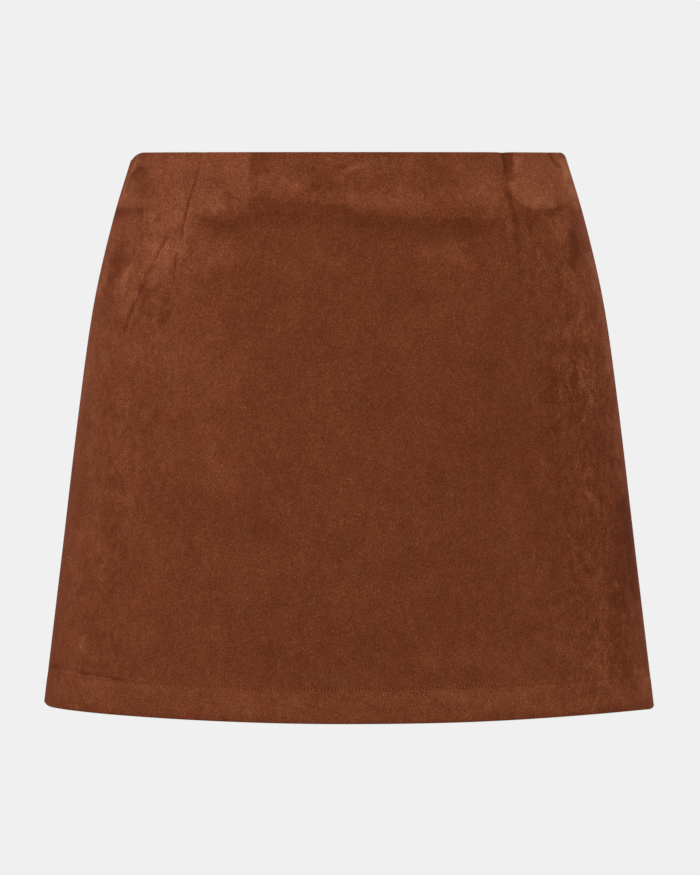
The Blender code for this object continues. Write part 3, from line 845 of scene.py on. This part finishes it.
def clothRelief(skin, angle, share):
    # how far the cloth stands out (+) or in (-) from the smooth form, in metres
    x = skin[..., 0] * 1000
    d = -skin[..., 2] * 1000
    front = skin[..., 1] < 0
    lift = np.where(front, foldLift(frontFolds, x, d), foldLift(backFolds, x, d))
    lift = lift + stepLift(np.where(front, x, -x * 0.9), d)   # behind, the front's step turned round
    swell = 0.35 * np.sin(x / 31 + 0.8) * np.sin(d / 47 + 1.9) * smooth((d - 60) / 60)
    ripple = 0.25 * np.sin(x / 17 - d / 40) * smooth((d - 90) / 80)
    held = smooth(np.abs(skin[..., 1]) / 0.030)          # the side seams hold the cloth
    up = (1 - share) * skirtLength - skirtCut["stitchRow"]
    dimple = 0.12 * np.exp(-((up / 0.0010) ** 2))
    puff = 0.16 * smooth(-up / 0.004)                    # the folded hem is fuller than one layer
    return ((lift + swell + ripple) * held - dimple + puff - dartSink(angle, d)) / 1000


# the strokes' painted light and shade with the nap's marks, and the crushed nap with its painted glancing
# light
def clothNapAndPaintedLight(skin):
    x = skin[..., 0] * 1000
    d = -skin[..., 2] * 1000
    front = skin[..., 1] < 0
    nap = np.where(front, strokes(frontNapAndPaintedLight, x, d), strokes(backNapAndPaintedLight, x, d))
    crush = np.where(front, strokes(frontCrushAndGlancingLight, x, d), strokes(backCrushAndGlancingLight, x, d))
    return nap, crush


def clothAt(angle, share, inset=0.0):
    # a place on the skirt's cloth, moved in by the inset
    skin = skirtSkin(angle, share)
    return skin + outward(skirtSkin, angle, share) * (clothRelief(skin, angle, share) - inset)[..., None]


foldEdge = 0.0006  # length of the step beside a turned fold
outerFace = 0.0004  # rows less far in than this are on the outer face
seamColumns = np.array([0.1, 0.22, 0.45, 0.8])  # degrees from a seam
dartColumns = np.array([0, 0.18, 0.32, 0.5, 0.75, 1.1])  # degrees from a dart, to both sides
dartClear = 1.3  # degrees from a dart that the even columns keep away
dartBend = 8.0  # degrees from a dart over which columns follow its line
creaseColumns = np.arange(-76, -42, 0.62)  # where the front is creased most
sharpCorner = 62  # degrees: corners sharper than this stay crisp


def lengthAcross(points):
    # how far along its row each point is
    steps = np.linalg.norm(np.diff(points, axis=-2), axis=-1)
    return np.concatenate([np.zeros((*steps.shape[:-1], 1)), np.cumsum(steps, axis=-1)], axis=-1)


def evenAngles(start, end, count):
    # angles evenly spaced over the cloth, closer beside the seams, darts and creases
    fine = np.linspace(start, end, 721)
    run = lengthAcross(skirtSkin(fine, 0.5))
    angles = np.interp(np.linspace(0, run[-1], count), run, fine)
    extra = [*(start + seamColumns), *(end - seamColumns)]
    for dart in darts:
        middle = dart["angle"][2]
        if start < middle < end:
            angles = angles[np.abs(angles - middle) > dartClear]
            extra += [*(middle - dartColumns), *(middle + dartColumns)]
    if start < creaseColumns[0]:
        extra += [*creaseColumns]
    return np.unique(np.concatenate([angles, extra]))


def bendToDarts(angles, depth):
    # columns follow each dart's line
    bent = np.array(np.broadcast_arrays(angles, depth)[0], float)
    for dart in darts:
        middle = dart["angle"][2]
        shift = np.interp(depth * 1000, dart["depth"], dart["angle"]) - middle
        bent = bent + shift * np.exp(-(((angles - middle) / dartBend) ** 2))
    return bent


def edgeRound(share, thickness, length, upward):
    # the levels round an edge of the cloth, as (share, inset)
    turns = np.linspace(0, math.pi, 7)[1:-1]
    sign = -1 if upward else 1
    radius = thickness / 2
    rows = [(share + sign * radius * math.sin(t) / length, radius * (1 - math.cos(t))) for t in turns]
    return rows[::-1] if upward else rows


def profile(outerShares, innerCount, cut):
    # the way round a wall of cloth: down its outer face, round the foot, up its inner face, round the top
    topThickness, topDepth = cut.get("topFold", (cut["thickness"], 0.0))
    footThickness, footDepth = cut.get("footFold", (cut["thickness"], 0.0))
    topLength = cut.get("topLength", skirtLength)
    footLength = cut.get("footLength", skirtLength)
    first = cut["top"] + topThickness / 2 / topLength
    last = cut["foot"] - footThickness / 2 / footLength
    rows = [(first, 0.0)] + [(s, 0.0) for s in outerShares if first < s < last] + [(last, 0.0)]
    rows += edgeRound(last, footThickness, footLength, False)
    innerLast = last
    if footDepth:
        foldTop = cut["foot"] - footDepth / footLength
        rows += [(s, footThickness) for s in np.linspace(last, foldTop, 9)]
        innerLast = foldTop - foldEdge / footLength
    innerFirst = first
    if topDepth:
        foldFoot = cut["top"] + topDepth / topLength
        innerFirst = foldFoot + foldEdge / topLength
    rows += [(s, cut["thickness"]) for s in np.linspace(innerLast, innerFirst, innerCount)]
    if topDepth:
        rows += [(s, topThickness) for s in np.linspace(foldFoot, first, 3)]
    return np.array(rows + edgeRound(first, topThickness, topLength, True))


def capStrip(shares):
    # triangles that close a wall's end, zipped between its outer and inner rows
    count = len(shares)
    top = int(np.argmin(shares))
    foot = int(np.argmax(shares))
    outer = [(top + k) % count for k in range((foot - top) % count + 1)]
    inner = [(top - k) % count for k in range((top - foot) % count + 1)]
    triangles = []
    i = 0
    j = 0
    while i < len(outer) - 1 or j < len(inner) - 1:
        if j == len(inner) - 1 or (i < len(outer) - 1 and shares[outer[i + 1]] <= shares[inner[j + 1]]):
            triangles.append((outer[i], outer[i + 1], inner[j]))
            i += 1
        else:
            triangles.append((outer[i], inner[j + 1], inner[j]))
            j += 1
    return [t for t in triangles if len(set(t)) == 3]


def addMesh(name, points, faces, materials, materialOf=None, values=None):
    mesh = bpy.data.meshes.new(name)
    mesh.from_pydata(points.reshape(-1, 3).tolist(), [], faces)
    for key, data in (values or {}).items():
        stored = mesh.attributes.new(key, "FLOAT", "POINT")
        data = np.broadcast_to(data, points.shape[:-1])
        stored.data.foreach_set("value", np.ascontiguousarray(data, dtype=np.float32).ravel())
    for material in materials:
        mesh.materials.append(material)
    if materialOf is not None:
        mesh.polygons.foreach_set("material_index", np.asarray(materialOf, dtype=np.int32))
    mesh.shade_smooth()
    mesh.set_sharp_from_angle(angle=math.radians(sharpCorner))
    item = bpy.data.objects.new(name, mesh)
    bpy.context.collection.objects.link(item)
    return item


def clothWall(name, rows, points, materials, values, insideRows=None):
    # a closed wall: rows go round the cloth's section and columns along it
    rowCount, columnCount = points.shape[:2]
    corners = np.arange(rowCount * columnCount).reshape(rowCount, columnCount)
    below = np.roll(corners, -1, axis=0)
    quads = np.stack([corners[:, :-1], below[:, :-1], below[:, 1:], corners[:, 1:]], axis=-1)
    cap = capStrip(rows[:, 0])
    faces = quads.reshape(-1, 4).tolist()
    faces += [[corners[r, 0] for r in t[::-1]] for t in cap]
    faces += [[corners[r, -1] for r in t] for t in cap]
    materialOf = None
    if insideRows is not None:
        strip = (insideRows & np.roll(insideRows, -1)).astype(int)
        materialOf = np.concatenate([np.repeat(strip, columnCount - 1), np.zeros(2 * len(cap), int)])
    return addMesh(name, points, faces, materials, materialOf, values)


def place(item, slot, sheet=None, replaced=(), extra=()):
    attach(item, "garment")
    if replaced:
        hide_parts(*replaced)
    area = sum(face.area for face in item.data.polygons)
    triangles = sum(len(face.vertices) - 2 for face in item.data.polygons)
    print(item.name, "surface", round(area, 4), "triangles", triangles)


def turnedIn(points, rows, gap, sink):
    # how far the outer face turns in near the panel's two side edges
    total = np.zeros(points.shape[:2])
    for column in (0, -1):
        edge = points[:, [column], :]
        near = np.clip(1 - np.linalg.norm(points - edge, axis=-1) / gap, 0.0, 1.0)
        total += sink * (1 - np.sqrt(1 - near**2))
    return total * (rows[:, 1:2] < outerFace)


def heldIn(points, quarter):
    # cloth stays on its own side of the seams
    for axis in (0, 1):
        if quarter[axis]:
            points[..., axis] = quarter[axis] * np.maximum(quarter[axis] * points[..., axis], 0.0)
    return points


def laidOn(angles, rows, inset, quarter, rolled=False):
    # the skirt's smooth form at a wall's rows, and the wall's own points
    shares = rows[:, :1]
    skin = skirtSkin(angles, shares)
    lift = clothRelief(skin, angles, shares) - rows[:, 1:2] - inset
    if rolled:
        lift = lift - turnedIn(skin, rows, skirtCut["seamRoll"], skirtCut["seamSink"])
    return skin, heldIn(skin + outward(skirtSkin, angles, shares) * lift[..., None], quarter)


# thin is how thick a stitch is at its ends and next to them, as shares of its middle
hemThread = {"pitch": 0.00225, "radius": 0.00030, "thin": (0.5, 0.9), "sides": 6, "material": suedeThread}
seamThread = {"pitch": 0.0026, "radius": 0.00022, "thin": (0.6, 0.95), "sides": 5, "material": knitThread}
coilThread = {"pitch": 0.0016, "radius": 0.00016, "thin": (0.6, 1.0), "sides": 5, "material": knitThread}

stitchEnd = 0.43  # shares of the pitch from a stitch's middle
stitchShape = np.array([-stitchEnd, -0.27, 0.0, 0.27, stitchEnd])


def threadMesh(name, paths, ups, radii, sides, material):
    # many short threads in one mesh: paths is thread by point, ups points out of the cloth
    count, steps = paths.shape[:2]
    tangent = unit(np.gradient(paths, axis=1))
    across = unit(np.cross(tangent, ups[:, None, :]))
    up = np.cross(across, tangent)
    turn = np.arange(sides) * 2 * math.pi / sides
    ring = across[:, :, None, :] * np.cos(turn)[:, None] + up[:, :, None, :] * np.sin(turn)[:, None]
    rings = paths[:, :, None, :] + ring * np.asarray(radii)[None, :, None, None]
    ends = paths[:, [0, -1], :] + tangent[:, [0, -1], :] * np.array([-1, 1])[None, :, None] * radii[0] * 0.5
    points = np.concatenate([rings.reshape(count, -1, 3), ends], axis=1)
    size = steps * sides + 2
    lastRing = (steps - 1) * sides
    faces = []
    for k in range(sides):
        n = (k + 1) % sides
        faces += [(s + n, s + k, s + sides + k, s + sides + n) for s in range(0, lastRing, sides)]
        faces += [(size - 2, k, n), (size - 1, lastRing + n, lastRing + k)]
    everyFace = [tuple(v + base for v in face) for base in range(0, count * size, size) for face in faces]
    return addMesh(name, points, everyFace, [material])


def stitchPaths(skinAt, start, end, pitch, bow, sink, slant=0.0):
    # stitches along skinAt(u), u running from start to end: each bows out, sinks at its ends and slants
    fine = np.linspace(start, end, 1201)
    run = lengthAcross(skinAt(fine, 0.0)[0])
    count = max(1, round(run[-1] / pitch))
    ends = stitchShape / stitchEnd
    middle = (np.arange(count)[:, None] + 0.5 + stitchShape[None, :]) * run[-1] / count
    points, out = skinAt(np.interp(middle, run, fine), slant * ends[None, :])
    return points + out * (bow * (1 - ends**2) - sink * ends**4)[None, :, None], out[:, 2]


def sew(name, slot, thread, rows):
    # rows of stitches as one piece, each row given as its paths and ups
    end, beside = thread["thin"]
    radii = thread["radius"] * np.array([end, beside, 1.0, beside, end])
    paths = np.concatenate([row[0] for row in rows])
    ups = np.concatenate([row[1] for row in rows])
    stitches = threadMesh(name, paths, ups, radii, thread["sides"], thread["material"])
    place(stitches, slot)
    return stitches


def onSkirt(share, inset):
    # a level on the skirt's cloth, for a row of stitches
    def skinAt(angle, shift):
        angle, level = np.broadcast_arrays(angle, share + shift / skirtLength)
        return clothAt(angle, level, inset), outward(skirtSkin, angle, level)
    return skinAt


skirtPanels = [
    {"name": "skirtFront", "node": "skirt_front", "span": (-90.0, 90.0), "count": 250, "quarter": (0, -1),
     "flat": (0.535, 0.435), "area": 0.202},
    {"name": "skirtBackLeft", "node": "skirt_back_left", "span": (90.0, 180.0), "count": 118,
     "quarter": (1, 1), "flat": (0.290, 0.435), "area": 0.112},
    {"name": "skirtBackRight", "node": "skirt_back_right", "span": (180.0, 270.0), "count": 118,
     "quarter": (-1, 1), "flat": (0.290, 0.435), "area": 0.112},
]

hemRows = [
    # the hem's stitches outside and inside: how far in, their bow and how their ends sink
    (0.0, 0.00008, 0.0003),
    (skirtCut["hemThickness"], -0.00012, -0.0003),
]


def openMouth(points, side):
    # the centre back edges part above the zip's slider
    opening = skirtCut["zipMouth"] * (1 - np.clip(-points[..., 2] / skirtCut["mouthDepth"], 0, 1))
    points[..., 0] += side * opening * np.exp(-np.abs(points[..., 0]) / skirtCut["mouthSpread"])


def makeSkirt():
    rowShare = 1 - skirtCut["stitchRow"] / skirtLength
    # levels close together beside the stitches
    nearRow = np.array([-2.2, -1.4, -0.9, -0.45, 0, 0.45, 0.9, 1.4, 2.2]) / 1000 / skirtLength
    outer = [np.linspace(0, 0.33, 108), np.linspace(0.33, 1, 108)[1:], rowShare + nearRow]
    rows = profile(np.sort(np.concatenate(outer)), 32, {
        "top": 0.0, "foot": 1.0, "thickness": skirtCut["cloth"],
        "topFold": (skirtCut["turnedEdge"], skirtCut["turnedDepth"]),
        "footFold": (skirtCut["hemThickness"], skirtCut["hem"])})
    shares = rows[:, :1]
    insideRows = np.abs(rows[:, 1] - skirtCut["cloth"]) < 1e-6
    up = (1 - shares) * skirtLength - skirtCut["stitchRow"]
    # painted shade along the row of needle holes, on the outer face
    hole = np.exp(-((up / skirtCut["needleHoleShadeReach"]) ** 2)) * (rows[:, 1:2] < outerFace)
    for panel in skirtPanels:
        start, end = panel["span"]
        angles = evenAngles(start, end, panel["count"])[None, :]
        depth = shareDepth(angles, shares)
        skin, points = laidOn(bendToDarts(angles, depth), rows, 0.0, panel["quarter"], True)
        if panel["quarter"][0]:
            openMouth(points, panel["quarter"][0])
        # painted light and shade, and crushed nap with painted glancing light, for the suede's colour
        nap, crush = clothNapAndPaintedLight(skin)
        across = lengthAcross(skin)
        hemRun = across[np.argmin(np.abs(rows[:, 0] - rowShare))]
        stitch = hemRun / hemRun[-1] * max(1, round(hemRun[-1] / hemThread["pitch"]))
        item = clothWall(panel["name"], rows, points, [suede, backing], {
            "nap": nap, "crush": crush, "hole": hole, "stitch": stitch, "around": across, "down": depth},
            insideRows)
        sewn = [stitchPaths(onSkirt(rowShare, inset), start + 0.12, end - 0.12, hemThread["pitch"], bow, sink)
                for inset, bow, sink in hemRows]
        stitches = sew(panel["name"] + "HemStitches", "suede", hemThread, sewn)
        place(item, "suede", panel, [panel["node"]], [stitches])


makeSkirt()
print("skirt made")


facingCut = {
    "top": 0.0043,                 # down from the waist edge, under the turned edge
    "foot": 0.045,
    "thickness": 0.0010,
    "inset": 0.0018,
    "zipClear": 0.0095,            # from the centre back, clear of the zip's tape
}

facings = [
    {"name": "facingFront", "node": "facing_front", "span": (-90.0, 90.0), "count": 120, "quarter": (0, -1),
     "flat": (0.405, 0.088), "area": 0.0215},
    {"name": "facingBackLeft", "node": "facing_back_left", "span": (90.0, 180.0), "count": 60,
     "quarter": (1, 1), "flat": (0.215, 0.062), "area": 0.0110},
    {"name": "facingBackRight", "node": "facing_back_right", "span": (180.0, 270.0), "count": 60,
     "quarter": (-1, 1), "flat": (0.215, 0.062), "area": 0.0110},
]

facingRows = [
    # a row of stitches by the waist and the overlocked edge: depth, how far in, bow, sink and slant
    (0.0065, 0.0, -0.00010, -0.00025, 0.0),
    (facingCut["foot"], 0.0001, -0.00015, 0.0, 0.0018),
]

zipAngle = math.degrees(math.asin(facingCut["zipClear"] / skirtForm["halfWidth"][0]))


def clearOfZip(start, end):
    return (start + zipAngle if start == 180.0 else start), (end - zipAngle if end == 180.0 else end)


def makeFacings():
    foot = facingCut["foot"] / skirtLength
    rows = profile(np.linspace(0, foot, 26), 14, {
        "top": facingCut["top"] / skirtLength, "foot": foot, "thickness": facingCut["thickness"]})
    inner = facingCut["inset"] + facingCut["thickness"]
    for panel in facings:
        start, end = clearOfZip(*panel["span"])
        angles = evenAngles(start, end, panel["count"])[None, :]
        depth = shareDepth(angles, rows[:, :1])
        skin, points = laidOn(bendToDarts(angles, depth), rows, facingCut["inset"], panel["quarter"])
        item = clothWall(panel["name"], rows, points, [knit], {"around": lengthAcross(skin), "down": depth})
        sewn = [stitchPaths(onSkirt(down / skirtLength, inner + inset), start + 0.2, end - 0.2,
                            seamThread["pitch"], bow, sink, slant)
                for down, inset, bow, sink, slant in facingRows]
        stitches = sew(panel["name"] + "Stitches", "lining", seamThread, sewn)
        place(item, "lining", panel, [panel["node"]], [stitches])


makeFacings()
print("facings made")


shortsCut = {
    "thickness": 0.0011,
    "rise": 0.270,
    "length": 0.335,
    "curveStart": 0.150,           # where the crotch seams begin to curve in
    "parting": 0.008,
    "legFront": 0.68,
    "legBack": 0.73,
    "backCloses": 0.2,             # share past the curve's start over which the backs meet below the zip
    "hem": 0.016,
    "hemThickness": 0.0019,
    "hemRows": (0.0125, 0.0145),   # stitches, up from the hem
    "seamRoll": 0.0012,
    "seamSink": 0.0006,
    # by depth: where they leave the skirt's creases, and their own folds start and stop, each with its fade
    "followTo": (0.050, 0.060),
    "foldsFrom": (0.085, 0.050),
    "foldsTo": (0.33, 0.02),
}

shortsEase = {                     # how far inside the skirt's outer face the shorts lie
    "depth": [0.045, 0.075, 0.120, 0.200, 0.270, 0.340],
    "distance": [0.0018, 0.0050, 0.0085, 0.0150, 0.0240, 0.0360],
}

shortsPanels = [
    {"name": "shortsFrontLeft", "node": "shorts_front_left", "span": (0.0, 90.0), "quarter": (1, -1),
     "flat": (0.265, 0.315), "area": 0.0735},
    {"name": "shortsFrontRight", "node": "shorts_front_right", "span": (-90.0, 0.0), "quarter": (-1, -1),
     "flat": (0.265, 0.315), "area": 0.0735},
    {"name": "shortsBackLeft", "node": "shorts_back_left", "span": (90.0, 180.0), "quarter": (1, 1),
     "flat": (0.285, 0.315), "area": 0.0765},
    {"name": "shortsBackRight", "node": "shorts_back_right", "span": (180.0, 270.0), "quarter": (-1, 1),
     "flat": (0.285, 0.315), "area": 0.0765},
]

shortsFolds = [
    ((20, 250, 45, 215, 75, 190), 7, -1.0),
    ((16, 258, 60, 250, 110, 232), 6, -0.8),
    ((14, 268, 50, 275, 95, 270), 5, 0.7),
    ((30, 300, 80, 305, 130, 296), 6, -0.6),
    ((8, 150, 14, 190, 10, 230), 6, -0.6),
    ((95, 110, 105, 150, 112, 200), 10, 0.8),
]


def shortsSkin(side):
    # outer face of one side: share 0 to 1 is half a ring, 1 to 2 folds into a leg, and 2 to 3 is the leg
    def skin(angle, share):
        angle, share = np.broadcast_arrays(angle, share)
        top = shareDepth(angle, facingCut["foot"] / skirtLength) + skirtCut["seamGap"]
        turn = np.radians(90 * np.clip(share - 1, 0, 1))
        start = shortsCut["curveStart"]
        rise = shortsCut["rise"]
        folding = start + np.sin(turn) * (rise - start)
        legDepth = rise + (share - 2) * (shortsCut["length"] - rise)
        depth = np.where(share <= 1, top + share * (start - top), np.where(share <= 2, folding, legDepth))
        halfWidth = tableAt(skirtForm, "halfWidth", depth)
        ease = tableAt(shortsEase, "distance", depth)
        skirtShare = (depth - waistDepth(angle)) / (hemDepth(angle) - waistDepth(angle))
        skirt = skirtSkin(angle, skirtShare)
        leave, fade = shortsCut["followTo"]
        follow = clothRelief(skirt, angle, skirtShare) * (1 - smooth((depth - leave) / fade))
        ring = skirt + outward(skirtSkin, angle, skirtShare) * (follow - ease)[..., None]
        parting = shortsCut["parting"] * smooth(share - 2)
        middle = (halfWidth - ease + parting) / 2
        radius = (halfWidth - ease - parting) / 2
        fromFront = (side * angle + 90) % 360 - 90
        frontHalf = fromFront <= 90
        turned = np.radians(2 * np.where(frontHalf, fromFront, 180 - fromFront) - 90)
        frontReach = -shortsCut["legFront"] * tableAt(skirtForm, "front", depth)
        backReach = shortsCut["legBack"] * tableAt(skirtForm, "back", depth)
        x = side * (middle + radius * np.sin(turned))
        y = np.where(frontHalf, frontReach, backReach) * np.cos(turned)
        leg = np.stack([x, y, ring[..., 2]], axis=-1)
        return ring + (leg - ring) * (1 - np.cos(turn))[..., None]
    return skin


shortsStep = 0.06  # share between places that give the way out


def closedBack(angle, share):
    # the back edges draw together below the zip
    reach = 6.0
    away = np.abs(angle - 180)
    closing = smooth((share - 1) / shortsCut["backCloses"])
    move = zipAngle * closing * np.clip(1 - (away - zipAngle) / reach, 0, 1)
    return np.where(away < reach + zipAngle, angle - np.sign(angle - 180) * move, angle)


def shortsLift(points):
    # the folds fade out towards the facing and the hem
    depth = -points[..., 2]
    start, fadeIn = shortsCut["foldsFrom"]
    stop, fadeOut = shortsCut["foldsTo"]
    folds = foldLift(shortsFolds, np.abs(points[..., 0]) * 1000, depth * 1000) / 1000
    return folds * smooth((depth - start) / fadeIn) * smooth((stop - depth) / fadeOut)


def onShorts(side, share):
    # a level on the shorts' cloth, for a row of stitches
    skin = shortsSkin(side)

    def skinAt(angle, shift):
        angle, level = np.broadcast_arrays(angle, share + shift)
        at = closedBack(angle, level)
        points = skin(at, level)
        out = outward(skin, at, level, shortsStep)
        return points + out * shortsLift(points)[..., None], out
    return skinAt


def makeShorts():
    legLength = shortsCut["length"] - shortsCut["rise"]
    outer = [np.linspace(0, 1, 34), np.linspace(1, 2, 40)[1:], np.linspace(2, 3, 24)[1:]]
    rows = profile(np.concatenate(outer), 44, {
        "top": 0.0, "foot": 3.0, "thickness": shortsCut["thickness"],
        "topLength": shortsCut["curveStart"] - facingCut["foot"], "footLength": legLength,
        "footFold": (shortsCut["hemThickness"], shortsCut["hem"])})
    shares = rows[:, :1]
    besideSeam = np.array([0.0015, 0.0035, 0.007, 0.012])
    columns = np.unique(np.concatenate([np.linspace(0, 1, 60), besideSeam, 1 - besideSeam]))
    for panel in shortsPanels:
        side = panel["quarter"][0]
        front = panel["quarter"][1] < 0
        skin = shortsSkin(side)
        start, end = clearOfZip(*panel["span"])
        at = closedBack(start + (end - start) * columns[None, :], shares)
        form = skin(at, shares)
        lift = shortsLift(form) - rows[:, 1:2]
        lift = lift - turnedIn(form, rows, shortsCut["seamRoll"], shortsCut["seamSink"])
        points = heldIn(form + outward(skin, at, shares, shortsStep) * lift[..., None], panel["quarter"])
        joinedFrom = 0 if front else 1 + shortsCut["backCloses"]
        joined = (rows[:, 1] < outerFace) & (rows[:, 0] >= joinedFrom) & (rows[:, 0] <= 2)
        points[joined, 0 if (side > 0) == front else -1, 0] = 0.0
        item = clothWall(panel["name"], rows, points, [knit],
                         {"around": lengthAcross(form), "down": -form[..., 2]})
        sewn = [stitchPaths(onShorts(side, 3 - up / legLength), start + 0.4, end - 0.4,
                            seamThread["pitch"], 0.00008, 0.0002)
                for up in shortsCut["hemRows"]]
        stitches = sew(panel["name"] + "HemStitches", "lining", seamThread, sewn)
        place(item, "lining", panel, [panel["node"]], [stitches])


makeShorts()
print("shorts made")


zipCut = {
    "length": 0.180,
    "tapeStart": 0.0030,
    "tapeInset": 0.0018,
    "tapeThickness": 0.0006,
    "tapeNear": 0.0012,            # from the centre back to the tape's inner edge, and its outer edge
    "tapeFar": 0.0092,
    "coilStart": 0.0118,
    "coilStop": 0.177,
    "toothPitch": 0.00125,
    "wire": 0.00028,               # radius of the coil's wire
    "wireSides": 6,
    "rowApart": 0.00105,           # half the distance between the coil's two rows of stitches
    "rowInset": 0.00402,
}

tapes = [
    {"name": "zipTapeLeft", "node": "zip_tape_left", "side": -1, "flat": (0.010, 0.180), "area": 0.0018},
    {"name": "zipTapeRight", "node": "zip_tape_right", "side": 1, "flat": (0.010, 0.180), "area": 0.0018},
]

coilTooth = [
    # one turn of the coil: across from its sewn edge, down, and in from the skirt's face, in millimetres
    (-1.45, 0.00, 3.05), (-0.70, 0.00, 2.98), (0.10, 0.00, 3.02), (0.38, 0.03, 3.20), (0.44, 0.08, 3.42),
    (0.34, 0.14, 3.62), (0.05, 0.20, 3.72), (-0.70, 0.34, 3.72), (-1.35, 0.50, 3.66), (-1.58, 0.60, 3.45),
]


def alongZip(across, down, inset):
    # a place by the centre back: across it, down from the waist and in from the skirt's face
    across, down, inset = np.broadcast_arrays(across, down, inset)
    base = clothAt(180.0, down / skirtLength, inset)
    base[..., 0] += across
    return base


def makeTapes():
    foot = zipCut["length"] / skirtLength
    rows = profile(np.linspace(0, foot, 90), 60, {
        "top": zipCut["tapeStart"] / skirtLength, "foot": foot, "thickness": zipCut["tapeThickness"]})
    across = zipCut["tapeNear"] + (zipCut["tapeFar"] - zipCut["tapeNear"]) * np.linspace(0, 1, 11)
    turn = np.degrees(np.arcsin(across / skirtForm["halfWidth"][0]))
    for tape in tapes:
        angles = np.sort(180 + tape["side"] * turn)[None, :]
        skin, points = laidOn(angles, rows, zipCut["tapeInset"], (0, 0))
        item = clothWall(tape["name"], rows, points, [tapeCloth],
                         {"around": lengthAcross(skin), "down": -skin[..., 2]})
        place(item, "zip_cloth", tape, [tape["node"]])


def makeCoil():
    x, down, inset = np.array(coilTooth).T / 1000
    pitch = zipCut["toothPitch"]
    starts = np.arange(zipCut["coilStart"], zipCut["coilStop"], pitch)[:, None]
    left = alongZip(-x, starts + pitch / 2 + down, inset)
    paths = np.concatenate([alongZip(x, starts + down, inset), left])
    ups = np.tile([0.0, 0.15, 1.0], (len(paths), 1))
    radii = [zipCut["wire"]] * len(coilTooth)
    coil = threadMesh("zipCoil", paths, ups, radii, zipCut["wireSides"], coilNylon)
    place(coil, "zip_coil", None, ["zip_chain"])
    pitch = coilThread["pitch"]
    starts = np.arange(zipCut["coilStart"] + 0.001, zipCut["coilStop"], pitch)[:, None]
    shape = np.array([-stitchEnd, -0.2, 0.0, 0.2, stitchEnd]) * pitch
    inset = zipCut["rowInset"] + np.array([-0.0002, 0.00005, 0.0001, 0.00005, -0.0002])
    ups = np.tile([0.0, 1.0, 0.2], (len(starts), 1))
    sew("coilStitches", "zip_coil", coilThread,
        [(alongZip(side * zipCut["rowApart"], starts + shape, inset), ups) for side in (-1, 1)])


def makeSlider():
    # the slider and its pull keep their own shape, in enamel
    for node in ("zip_slider", "zip_pull"):
        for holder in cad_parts[node].material_slots:
            holder.material = enamel


makeTapes()
makeCoil()
makeSlider()
print("zip made")
